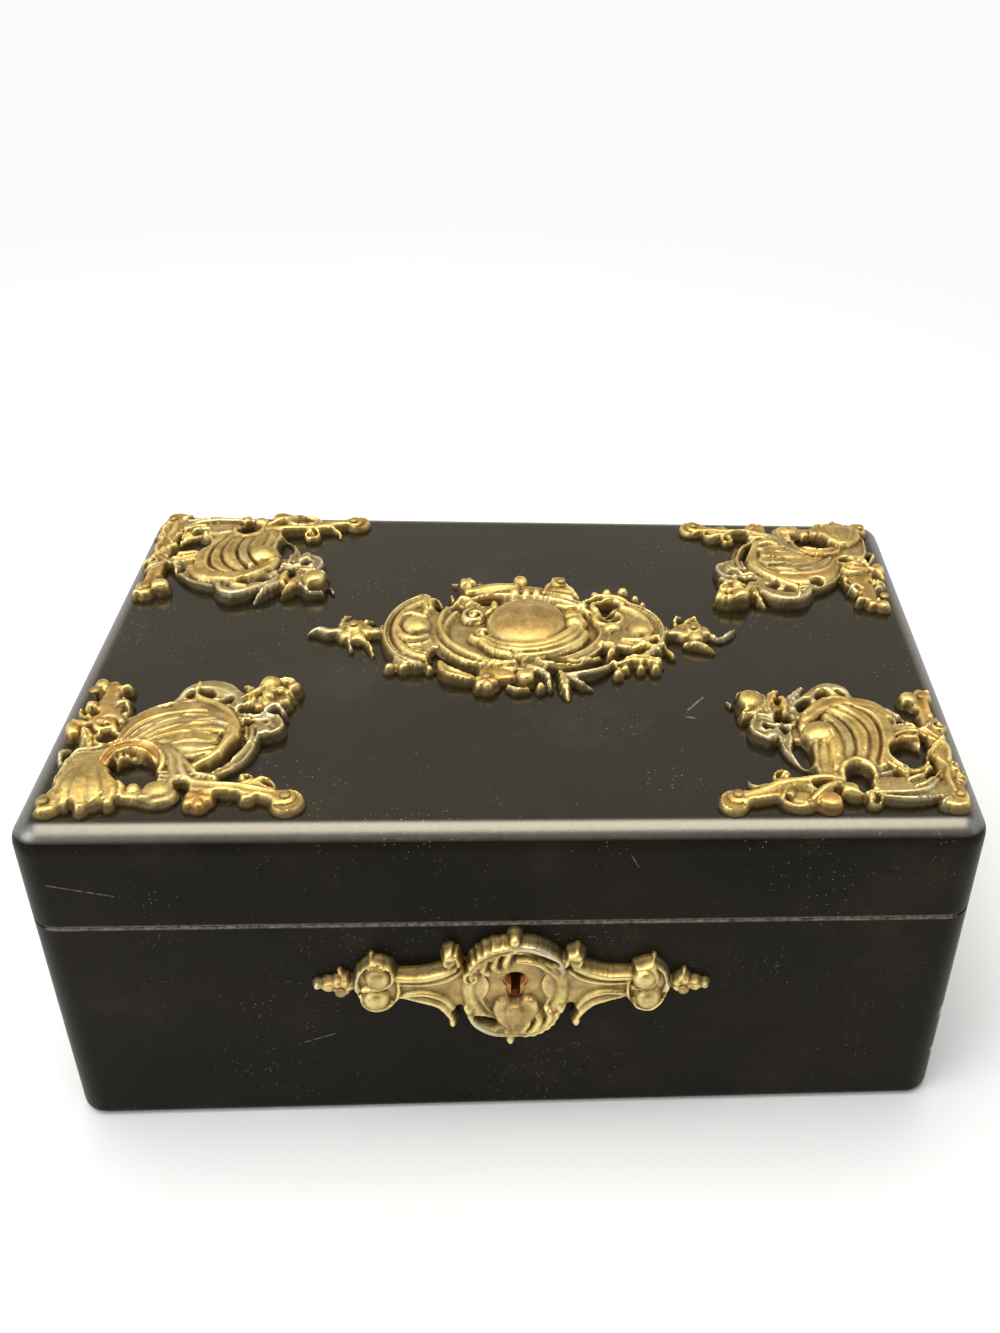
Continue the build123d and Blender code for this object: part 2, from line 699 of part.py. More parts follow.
case_floor = base_height - lock_case_drop
case_top = base_height - selvedge_thickness
case_middle_y = (mortise_front + lock_plate_front) / 2
with BuildPart() as lock_case:
    with Locations((0, case_middle_y, (case_floor + case_top) / 2)):
        Box(lock_case_width, lock_plate_front - mortise_front, case_top - case_floor)
    with Locations((0, case_middle_y + lock_case_wall, (case_floor + case_top) / 2 + lock_case_wall)):
        Box(
            lock_case_width - 2 * lock_case_wall,
            lock_plate_front - mortise_front,
            case_top - case_floor,
            mode=Mode.SUBTRACT,
        )
    extrude(
        key_opening(keyhole_radius, keyhole_slot_width, keyhole_slot_drop),
        amount=case_depth,
        mode=Mode.SUBTRACT,
    )
save(lock_case.part, "lock_case")

with BuildPart() as lock_bolt:
    with BuildSketch(Plane.XZ.offset(-lug_y)):
        post_right = [x - lug_thickness / 2 - bolt_tip_gap - bolt_tip_length for x in lug_places]
        bar_left = post_right[0] - bolt_post_width
        bar_right = -bar_left - bolt_travel
        with Locations(((bar_left + bar_right) / 2, (bolt_bottom + bolt_top) / 2)):
            Rectangle(bar_right - bar_left, bolt_bar_height)
        for right in post_right:
            tip_top = window_middle + bolt_tip_height / 2
            with Locations((right - bolt_post_width / 2, (bolt_bottom + tip_top) / 2)):
                Rectangle(bolt_post_width, tip_top - bolt_bottom)
            with Locations((right + bolt_tip_length / 2, window_middle)):
                Rectangle(bolt_tip_length, bolt_tip_height)
        for stud_x, stud_z in stud_places:
            with Locations((stud_x - bolt_travel / 2, stud_z)):
                SlotOverall(
                    bolt_travel + 2 * (guide_stud_radius + guide_stud_gap),
                    2 * (guide_stud_radius + guide_stud_gap),
                    mode=Mode.SUBTRACT,
                )
        with Locations((-bolt_travel / 2, bolt_bottom)):
            Rectangle(bolt_talon_width, 2 * bolt_talon_depth, mode=Mode.SUBTRACT)
    extrude(amount=bolt_thickness / 2, both=True)
save(lock_bolt.part, "lock_bolt")

spring_wall = -lock_case_width / 2 + lock_case_wall + spring_thickness / 2
spring_top = bolt_bottom - spring_gap - spring_thickness / 2
with BuildPart() as lock_spring:
    with BuildSketch(Plane.XZ.offset(-lug_y)):
        with BuildLine() as spring_line:
            spring_path = FilletPolyline(
                (spring_wall, spring_top - 11.0),
                (spring_wall, spring_top - 5.0),
                (spring_wall + 5.0, spring_top),
                (spring_wall + 9.0, spring_top),
                radius=1.2,
            )
            offset(spring_path, amount=spring_thickness / 2, side=Side.BOTH)
        make_face()
    extrude(amount=spring_width / 2, both=True)
save(lock_spring.part, "lock_spring")

link_screw_places = []
for screw_x in (-lock_plate_width / 2 + link_screw_inset, lock_plate_width / 2 - link_screw_inset):
    link_screw_places.append(Plane(origin=(screw_x, lug_y, base_height), z_dir=(0, 0, -1)))
save(screw_set(link_screw_places), "link_plate_screws")

with BuildPart() as link_plate:
    with Locations((0, (mortise_front + inner_front) / 2, base_height + link_plate_thickness / 2)):
        Box(lock_plate_width, inner_front - mortise_front, link_plate_thickness)
    for lug_x in lug_places:
        with Locations((lug_x, lug_y, base_height - lug_drop / 2)):
            Box(lug_thickness, lug_width, lug_drop)
        with Locations((lug_x, lug_y, window_middle)):
            Box(2 * lug_thickness, lug_window_width, lug_window_height, mode=Mode.SUBTRACT)
    add(screw_holes(link_screw_places), mode=Mode.SUBTRACT)
save(link_plate.part, "link_plate")

# Boards of the base
with BuildPart() as base_front_board:
    add(mitred_board(base_block.part, "front", 0, base_height))
    with Locations((0, case_middle_y, (case_floor + base_height) / 2)):
        Box(lock_case_width, lock_plate_front - mortise_front, base_height - case_floor, mode=Mode.SUBTRACT)
    with Locations((0, inner_front - lock_plate_thickness / 2, base_height - lock_plate_drop / 2)):
        Box(lock_plate_width, lock_plate_thickness, lock_plate_drop, mode=Mode.SUBTRACT)
    with Locations((0, (mortise_front + inner_front) / 2, base_height - selvedge_thickness / 2)):
        Box(lock_plate_width, inner_front - mortise_front, selvedge_thickness, mode=Mode.SUBTRACT)
    extrude(
        key_opening(keyhole_radius, keyhole_slot_width, keyhole_slot_drop),
        amount=case_depth,
        mode=Mode.SUBTRACT,
    )
    add(screw_holes(lock_screw_places), mode=Mode.SUBTRACT)
    add(escutcheon_holes, mode=Mode.SUBTRACT)
save(base_front_board.part, "base_front_board")

with BuildPart() as base_back_board:
    add(mitred_board(base_block.part, "back", 0, base_height))
    for middle in hinge_sides.values():
        add(hinge_bed(middle, -1), mode=Mode.SUBTRACT)
save(base_back_board.part, "base_back_board")

save(mitred_board(base_block.part, "left", 0, base_height), "base_left_board")
save(mitred_board(base_block.part, "right", 0, base_height), "base_right_board")

# Rails and top of the lid
with BuildPart() as lid_front_rail:
    add(mitred_board(lid_block.part, "front", base_height, lid_top_seam))
    with Locations((0, (mortise_front + inner_front) / 2, base_height + link_plate_thickness / 2)):
        Box(lock_plate_width, inner_front - mortise_front, link_plate_thickness, mode=Mode.SUBTRACT)
    add(screw_holes(link_screw_places), mode=Mode.SUBTRACT)
save(lid_front_rail.part, "lid_front_rail")

with BuildPart() as lid_back_rail:
    add(mitred_board(lid_block.part, "back", base_height, lid_top_seam))
    for middle in hinge_sides.values():
        add(hinge_bed(middle, 1), mode=Mode.SUBTRACT)
save(lid_back_rail.part, "lid_back_rail")

save(mitred_board(lid_block.part, "left", base_height, lid_top_seam), "lid_left_rail")
save(mitred_board(lid_block.part, "right", base_height, lid_top_seam), "lid_right_rail")

with BuildPart() as lid_top_panel:
    add(lid_block.part)
    with BuildSketch(Plane.XY.offset(lid_top_seam)):
        Rectangle(case_length, case_depth)
    extrude(amount=lid_top_thickness, mode=Mode.INTERSECT)
    add(flowing_holes, mode=Mode.SUBTRACT)
    add(flowing_holes.rotate(half_turn, 180), mode=Mode.SUBTRACT)
    add(standing_holes.mirror(Plane.YZ), mode=Mode.SUBTRACT)
    add(standing_holes.mirror(Plane.XZ), mode=Mode.SUBTRACT)
    add(cartouche_holes, mode=Mode.SUBTRACT)
save(lid_top_panel.part, "lid_top_panel")


# Lining: covered cards along the walls, and a pad on the floor and in the lid
def lining_card(side, low, high):
    """A card along one wall; the front and back ones run the full length, the others fit between them."""
    across = lining_thickness / 2
    with BuildPart() as card:
        if side in ("front", "back"):
            sign = -1 if side == "front" else 1
            with Locations((0, sign * (inner_depth / 2 - across), (low + high) / 2)):
                Box(inner_length - 2 * lining_gap, lining_thickness, high - low)
        else:
            sign = -1 if side == "left" else 1
            with Locations((sign * (inner_length / 2 - across), 0, (low + high) / 2)):
                Box(lining_thickness, inner_depth - 2 * (lining_thickness + lining_gap), high - low)
    return card.part


def pad(low, high):
    """A pad that fills the floor or the lid between the cards, with rounded sides."""
    spare = 2 * (lining_thickness + lining_gap)
    with BuildPart() as cushion:
        with BuildSketch(Plane.XY.offset(low)):
            RectangleRounded(inner_length - spare, inner_depth - spare, pad_corner_radius)
        extrude(amount=high - low)
    return cushion.part


base_card_top = base_height - lining_setback
lid_card_foot = base_height + lining_setback
with BuildPart() as base_lining_front:
    add(lining_card("front", bottom_thickness, base_card_top))
    with Locations((0, inner_front + lining_thickness / 2, base_height - lock_plate_drop / 2)):
        Box(
            lock_plate_width + 2 * lock_window_gap,
            2 * lining_thickness,
            lock_plate_drop + 2 * lock_window_gap,
            mode=Mode.SUBTRACT,
        )
save(base_lining_front.part, "base_lining_front")
for side_name in ("back", "left", "right"):
    save(lining_card(side_name, bottom_thickness, base_card_top), f"base_lining_{side_name}")
for side_name in board_sides:
    save(lining_card(side_name, lid_card_foot, lid_top_seam), f"lid_lining_{side_name}")
save(pad(bottom_thickness, bottom_thickness + floor_pad_thickness), "floor_pad")
save(pad(lid_top_seam - lid_pad_thickness, lid_top_seam), "lid_pad")
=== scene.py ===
import json
from collections import namedtuple
from math import cos, pi, radians, sin

import bmesh
import bpy
import numpy as np
from mathutils import Matrix, Vector


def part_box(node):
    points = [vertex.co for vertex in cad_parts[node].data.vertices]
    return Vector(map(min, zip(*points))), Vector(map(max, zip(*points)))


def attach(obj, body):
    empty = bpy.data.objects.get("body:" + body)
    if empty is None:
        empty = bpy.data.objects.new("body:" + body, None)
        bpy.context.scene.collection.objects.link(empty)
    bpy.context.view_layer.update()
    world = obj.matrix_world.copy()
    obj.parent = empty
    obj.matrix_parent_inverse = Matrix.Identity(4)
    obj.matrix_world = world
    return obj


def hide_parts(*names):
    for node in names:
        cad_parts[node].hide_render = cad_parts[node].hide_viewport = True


bl_info = {
    "name": "Jewelry casket dressing",
    "version": (1, 0, 0),
    "blender": (4, 5, 0),
    "location": "3D View > Sidebar > Casket",
    "description": "Dresses the solids of an ebonised casket with gilt mounts, velvet, satin and polish",
    "category": "Object",
}

# The frame, and the sizes that are read from it. Metres, with the casket standing on the floor at the origin.
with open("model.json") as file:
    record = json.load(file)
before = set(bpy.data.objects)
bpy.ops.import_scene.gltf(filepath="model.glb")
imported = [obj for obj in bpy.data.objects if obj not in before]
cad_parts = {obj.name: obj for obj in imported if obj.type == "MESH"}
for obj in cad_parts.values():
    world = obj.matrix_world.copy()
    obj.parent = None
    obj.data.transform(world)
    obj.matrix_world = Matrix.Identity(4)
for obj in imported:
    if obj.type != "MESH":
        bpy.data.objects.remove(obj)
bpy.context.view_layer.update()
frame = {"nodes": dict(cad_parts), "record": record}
MM = 0.001
lid_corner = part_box("lid_top_panel")[1]
LID_TOP = lid_corner.z
HALF_LENGTH = lid_corner.x
HALF_DEPTH = lid_corner.y
JOINT_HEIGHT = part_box("base_front_board")[1].z

# Sizes of the part that the frame doesn't give
CARTOUCHE_SHIFT = 4.5 * MM
ESCUTCHEON_HEIGHT = 53.5 * MM
KEYHOLE_HEIGHT = 55.5 * MM
TOP_ROUND = 6.5 * MM

# The forms of the carved mounts, in millimetres. A strand's path has rows of x, y, width and rise.
# A form that names no look is round, or a ball where it is a dome, and one that names no tone is gilt.
Strand = namedtuple("Strand", "path look tone", defaults=("round", "gilt"))
Fan = namedtuple("Fan", "outer inner ribs tone", defaults=("gilt",))
Dome = namedtuple("Dome", "x y long short turn rise look tone", defaults=("ball", "gilt"))
Loop = namedtuple("Loop", "x y long short start sweep width rise look tone", defaults=("round", "gilt"))
Curl = namedtuple("Curl", "x y radius start turns width rise tone", defaults=("gilt",))
Hole = namedtuple("Hole", "x y long short turn")
Line = namedtuple("Line", "path width rise")

# How each tone is worn: share of pale silver metal, share of copper
TONES = {
    "gilt": (0.0, 0.0), "dull": (0.45, 0.0), "pale": (0.9, 0.0), "copper": (0.0, 0.55), "tan": (0.15, 0.22),
}

# Corner mount with a flowing shell: x along the front from the corner, y towards the back
FLOWING = [
    Strand([(12, 19, 9, 2.2), (14, 26, 11, 2.4), (15, 32, 10, 2.6)], "flat", "dull"),
    Strand([(14.5, 35, 10.5, 3), (14, 42, 10, 3.1), (13.4, 48, 8.5, 3.2), (13.2, 54, 6, 3.4),
        (12.8, 57.6, 4.6, 3.4)], "round", "tan"),
    Dome(36.8, 34.3, 17.2, 15.6, 0, 2.4, "flat", "dull"),
    Dome(34, 34.5, 15.5, 11, -12, 3, "ball", "dull"),
    Loop(37.4, 34.2, 17, 15.6, 0, 360, 4.4, 3.8, "reeded", "dull"),
    Strand([(21, 32.5, 2.4, 3.6), (23.5, 39.5, 5, 4.2), (30, 44.4, 6.2, 4.6), (38, 45, 6, 4.8),
        (45, 42.2, 4, 5)], "rib", "tan"),
    Strand([(22.5, 32, 2.2, 3.8), (27, 37.6, 5, 4.4), (34, 40.8, 6, 4.9), (41, 40.6, 4.5, 5.2),
        (46, 39, 2.4, 5.2)], "rib", "dull"),
    Strand([(26, 32, 2.2, 4), (31, 35.4, 4.6, 4.7), (37, 36.8, 5.2, 5.2), (43, 36.4, 4, 5.4),
        (46.6, 35.2, 2.2, 5.4)], "rib"),
    Strand([(29.5, 31.8, 2, 4.2), (34, 32.6, 4.4, 4.9), (39.5, 32.8, 5.2, 5.4), (44.6, 32, 4, 5.4)], "rib"),
    Strand([(33, 30.4, 1.8, 4.2), (38, 29.4, 3.6, 5), (43, 28.6, 4, 5.2), (46.4, 28.2, 2, 5.2)],
        "rib", "dull"),
    Strand([(36, 28, 1.6, 4.2), (40, 26, 2.6, 4.8), (44, 25.4, 2.4, 5)], "rib"),
    Strand([(43.5, 43.4, 2.4, 5), (47.6, 39.8, 3.6, 5.6), (49.3, 34, 4, 5.9), (48.4, 28, 4, 5.9),
        (45, 23.8, 3.6, 5.2), (41.4, 21.6, 2.2, 4.4)]),
    Strand([(41.6, 38.6, 1.8, 5.6), (44.8, 38.4, 3, 6), (47.4, 37.2, 2, 6)], "round", "pale"),
    Strand([(39.8, 25.2, 1.6, 5.2), (42.6, 24.8, 2.6, 5.9), (45.6, 25.8, 1.8, 5.8)]),
    Strand([(38.4, 25, 8, 2.8), (42, 20, 8, 2.8), (46.5, 18, 6, 2.8)], "flat", "dull"),
    Strand([(18.6, 23.4, 2.8, 4), (20.3, 27.6, 3.6, 4.9), (24.5, 29.8, 4.2, 5.2), (28.8, 29, 4.2, 5.2),
        (31.8, 26, 3.4, 4.8), (33, 22, 2, 4)], "rimmed", "copper"),
    Strand([(32.4, 28.2, 1.8, 4.6), (34, 24.4, 2.2, 4.6), (33.8, 20.6, 1.4, 3.6)]),
    Strand([(30.6, 30.8, 1.4, 4.4), (34.6, 27.4, 2.8, 4.6), (37, 22, 3.2, 4.2), (37.6, 16.8, 3, 3.8),
        (35.6, 12.4, 2.6, 3.6), (31.4, 11.2, 2.2, 3.4)], "round", "dull"),
    Strand([(33.4, 29.8, 1.4, 4.6), (37.6, 25.6, 2.6, 4.8), (39.6, 20.4, 2.6, 4.4), (42.2, 17.2, 2.4, 4),
        (47, 15.8, 2.4, 3.8)], "round", "dull"),
    Strand([(36, 28.2, 1.2, 4.6), (40, 23.2, 2.2, 4.6), (43.6, 19.6, 2.2, 4.2), (48.4, 18.2, 2, 3.8)],
        "round", "dull"),
    Strand([(23, 13, 5, 2.8), (28, 12.6, 4.2, 2.8), (33, 12, 4.6, 2.8)]),
    Dome(28.6, 15.2, 2, 2.6, 0, 3.4),
    Dome(35, 13.2, 5.3, 4.3, 0, 3, "ball", "dull"),
    Dome(34.8, 13.8, 3.7, 3.1, 0, 4.6),
    Dome(45.3, 11.2, 4.4, 4.2, 0, 3.4, "rosette", "copper"),
    Strand([(43.5, 15.6, 4.2, 3.2), (49.5, 14.6, 4, 3.6), (56, 14, 4, 3.4), (62, 12.8, 4.4, 3.2),
        (66, 11.4, 5, 3.1)], "flat"),
    Strand([(45, 16, 1.6, 4), (50, 15.2, 2.2, 4.4), (56, 14.8, 1.6, 4), (63, 13.2, 1.4, 3.6)]),
    Curl(55.3, 18.4, 2.7, 250, 1.2, 1.7, 3.8),
    Strand([(57, 15.6, 1.8, 3.6), (60, 17.8, 2.6, 4), (62.8, 16.8, 1.8, 3.6), (64, 14.4, 1.4, 3.2)]),
    Strand([(56.2, 17.2, 1.4, 3.4), (60.4, 15.8, 1.6, 3.8), (64, 13, 1.2, 3.4)]),
    Dome(57.3, 11.5, 2.4, 1.9, 0, 3.2),
    Dome(67.4, 10.6, 4.6, 4.6, 0, 2, "flat"),
    Loop(67.4, 10.6, 3.9, 3.9, 0, 360, 0.9, 2.7),
    Dome(67, 11.2, 2.1, 2.1, 0, 3.2, "flat", "tan"),
    Strand([(15.2, 23, 1.6, 4.2), (12, 18.6, 3.2, 4.4), (10.4, 14, 3.8, 4), (10.6, 10.4, 2.4, 3.2)],
        "rib", "tan"),
    Strand([(15.6, 23, 1.6, 4.6), (13.8, 18, 3.4, 5), (13.2, 13, 4.2, 4.6), (13.4, 9.2, 2.8, 3.4)], "rib"),
    Strand([(16.2, 23, 1.6, 4.8), (16, 17.6, 3.6, 5.4), (16.2, 12.4, 4.6, 5), (17.4, 7.8, 3.6, 3.4)],
        "rib"),
    Strand([(16.8, 23, 1.6, 4.8), (18.4, 17.8, 3.4, 5.2), (19.8, 12.8, 4.2, 4.8), (20.4, 9.6, 2.8, 3.6)],
        "rib"),
    Strand([(17.2, 23, 1.6, 4.6), (20.6, 18.8, 3.2, 4.8), (23, 14, 4, 4.4), (23.8, 9.6, 3.4, 3.4)], "rib"),
    Strand([(17.4, 23.4, 1.4, 4.2), (22, 20.4, 2.2, 4.4), (25.2, 16.4, 2.4, 4.2), (26, 12.4, 1.8, 3.4)],
        "round", "tan"),
    Strand([(9.8, 12.4, 1.2, 4), (12.4, 10.6, 1.6, 3.8), (14.8, 10.2, 1.2, 3.8)]),
    Strand([(15.4, 9.8, 1.2, 3.8), (17.6, 7.6, 1.8, 3.8), (20, 9.2, 1.2, 3.8)]),
    Curl(22, 11.6, 2.6, 120, 1.2, 1.4, 4.2),
    Dome(9.2, 8.2, 3.2, 2.2, 10, 2.8),
    Dome(8.2, 11.4, 2.8, 2.7, 0, 2.7, "flat", "tan"),
    Strand([(7.4, 25.8, 1.5, 3), (6.8, 28.6, 2.2, 3.6), (8.2, 31, 1.5, 3)], "round", "pale"),
    Strand([(8.4, 17.6, 1.4, 3.2), (8.6, 23.6, 1.5, 3), (10.6, 29.4, 1.6, 3.2), (15.4, 30.2, 1.5, 3.6),
        (18.4, 31.2, 1.4, 3.8)], "round", "dull"),
    Loop(17.3, 33.6, 2.9, 2.5, 0, 360, 1.5, 4.2),
    Curl(16, 38.6, 3.6, 20, 1.35, 2.5, 5),
    Strand([(10.6, 39.2, 2, 4.4), (13.4, 39.8, 3, 5.2), (17.2, 38.6, 2.6, 5.2), (19, 35.6, 1.8, 4.4)],
        "round", "copper"),
    Strand([(13.6, 31.4, 2.4, 4.2), (12.4, 34, 3.6, 5.4), (10.6, 36.8, 2.6, 5)], "leaf"),
    Strand([(5.6, 42.6, 1.6, 3.6), (7.8, 40.4, 2.4, 4.4), (10.6, 38.8, 2, 4.8)]),
    Dome(7, 37.8, 2.3, 3.5, 20, 4.4, "ball", "copper"),
    Curl(9, 46.4, 2.5, 160, 1.25, 1.5, 4.2),
    Dome(8.8, 49, 2, 1.5, 20, 3.8, "ball", "pale"),
    Strand([(14.4, 49.6, 1.4, 3.6), (16.8, 48.6, 2.2, 4.4), (19.2, 50.2, 1.4, 3.8)], "round", "pale"),
    Strand([(17, 51.6, 1.8, 3.6), (18.6, 49, 2, 3.8), (19.8, 44.6, 1.8, 3.6), (19.2, 41, 1.6, 3.6)],
        "round", "tan"),
    Dome(19.4, 44.2, 1.5, 1.4, 0, 3.8, "ball", "pale"),
    Dome(9.2, 58.4, 2.6, 2.6, 0, 3.6),
    Strand([(9.6, 54.8, 1.6, 3.4), (10.8, 56.6, 1.6, 3.8)]),
    Dome(16.6, 56.2, 2, 1.7, 30, 4),
    Strand([(13.6, 56.4, 2.2, 3.6), (16, 55.8, 1.8, 3.8)], "round", "tan"),
    Dome(56.6, 52, 6, 6.4, 0, 3.2, "flat", "tan"),
    Strand([(31.6, 49.4, 2.6, 3.8), (33.6, 53.8, 3.8, 4.4), (38.2, 56, 5.8, 4.6), (43.4, 55.2, 6, 4.6),
        (47.4, 51.8, 4.6, 4.4), (48.8, 47.6, 3.6, 4.2)], "round", "pale"),
    Strand([(36.6, 56, 1.6, 5.4), (36.4, 52.6, 1.8, 5.2), (38.2, 49.8, 2.2, 5), (43, 46.8, 2.4, 5.4),
        (47.4, 42.6, 2.6, 5.6), (50.2, 37, 2.2, 5)]),
    Strand([(41, 52.8, 3, 3.4), (43.8, 50.6, 2.6, 3.2), (46.6, 47.4, 2.6, 3.4)], "round", "dull"),
    Strand([(48, 58.4, 1.2, 3.6), (50.4, 54.6, 3.4, 4.8), (51.6, 49.6, 3.6, 4.8), (50, 46.8, 2, 4.2)],
        "leaf"),
    Strand([(49, 50.6, 1.4, 4.4), (52.4, 52.4, 2.2, 5.4), (54.8, 55.6, 1.8, 5.4)]),
    Dome(55.6, 56.2, 3.2, 3, 10, 6.4),
    Strand([(57, 57.6, 3, 5.4), (60.4, 57.8, 4.2, 5.4), (63.6, 57, 2, 4.4)], "leaf"),
    Dome(62.2, 55.6, 2.4, 2, 40, 5, "ball", "tan"),
    Strand([(54.8, 52.4, 2.4, 5), (58.6, 53.6, 3.6, 5.4), (62.6, 52.4, 2, 4.4)], "leaf"),
    Dome(56, 50.6, 1.9, 1.9, 0, 5.8),
    Strand([(54, 50, 2.2, 4.6), (57.6, 47.6, 3.2, 4.8), (61.6, 49.8, 2, 4.4)], "leaf"),
    Strand([(56, 45.6, 2.8, 4.2), (58.6, 47.6, 2.8, 4.6), (61, 45, 2.4, 4.4)], "round", "pale"),
    Strand([(50.2, 43.2, 3.6, 4), (54.4, 42.6, 4, 4.2), (58.8, 42.2, 4.4, 4.6), (60.2, 38.6, 5, 4.8),
        (57.4, 36.4, 4.4, 4.4)], "rimmed", "pale"),
    Strand([(53.2, 39.6, 2.6, 3.6), (56.6, 38.4, 4, 4.2), (57.6, 36.4, 4.2, 4.4)], "round", "pale"),
    Line([(21.2, 32.8), (23.8, 38.2), (29, 42), (36, 43.6), (41, 43.6)], 0.45, 0.6),
    Line([(22.4, 32.2), (26, 37), (31, 40), (36.5, 41.8)], 0.45, 0.6),
    Line([(30, 35.2), (36, 37.6), (43, 38)], 0.4, 0.5),
    Line([(31, 33.4), (37, 34.8), (44, 33.8)], 0.4, 0.5),
    Line([(35, 30.4), (40, 30.8), (45.4, 30)], 0.4, 0.5),
    Line([(23.6, 33.6), (28, 38.4), (34, 41.2), (42, 41.4)], 0.4, -0.6),
    Line([(27.6, 33.2), (33, 36.4), (40, 38.8), (44, 39.4)], 0.4, -0.6),
    Line([(30.6, 32.6), (36, 34.2), (43.6, 34.8)], 0.4, -0.5),
    Line([(37.6, 27), (42, 26.4), (46, 27.4)], 0.4, -0.6),
    Line([(52, 42.9), (55.4, 42.4), (58, 42)], 0.5, -1),
    Line([(47.6, 20.2), (52.6, 24.8), (54.6, 31.2)], 0.6, -1),
    Hole(27.2, 21.4, 5.2, 4.4, -6),
    Hole(30.8, 18.8, 2.6, 2, -30),
    Hole(51, 29.4, 4.4, 0.55, 70),
    Hole(48.4, 23.8, 2.6, 0.6, 44),
    Hole(45.4, 21.2, 1.6, 0.6, 26),
    Hole(29.4, 47, 1.6, 0.8, 8),
    Hole(39.4, 52.2, 1.1, 1, 0),
    Hole(44.4, 49.6, 1.7, 0.8, 30),
    Hole(52, 46, 2.7, 1, 8),
    Hole(52.4, 40.2, 0.9, 0.6, 0),
    Hole(51.6, 18.2, 2.2, 0.9, 20),
    Hole(17.3, 33.6, 1.9, 1.5, 0),
    Hole(16.9, 53.6, 1.2, 0.8, 60),
    Hole(10.6, 45.4, 0.8, 0.7, 0),
]

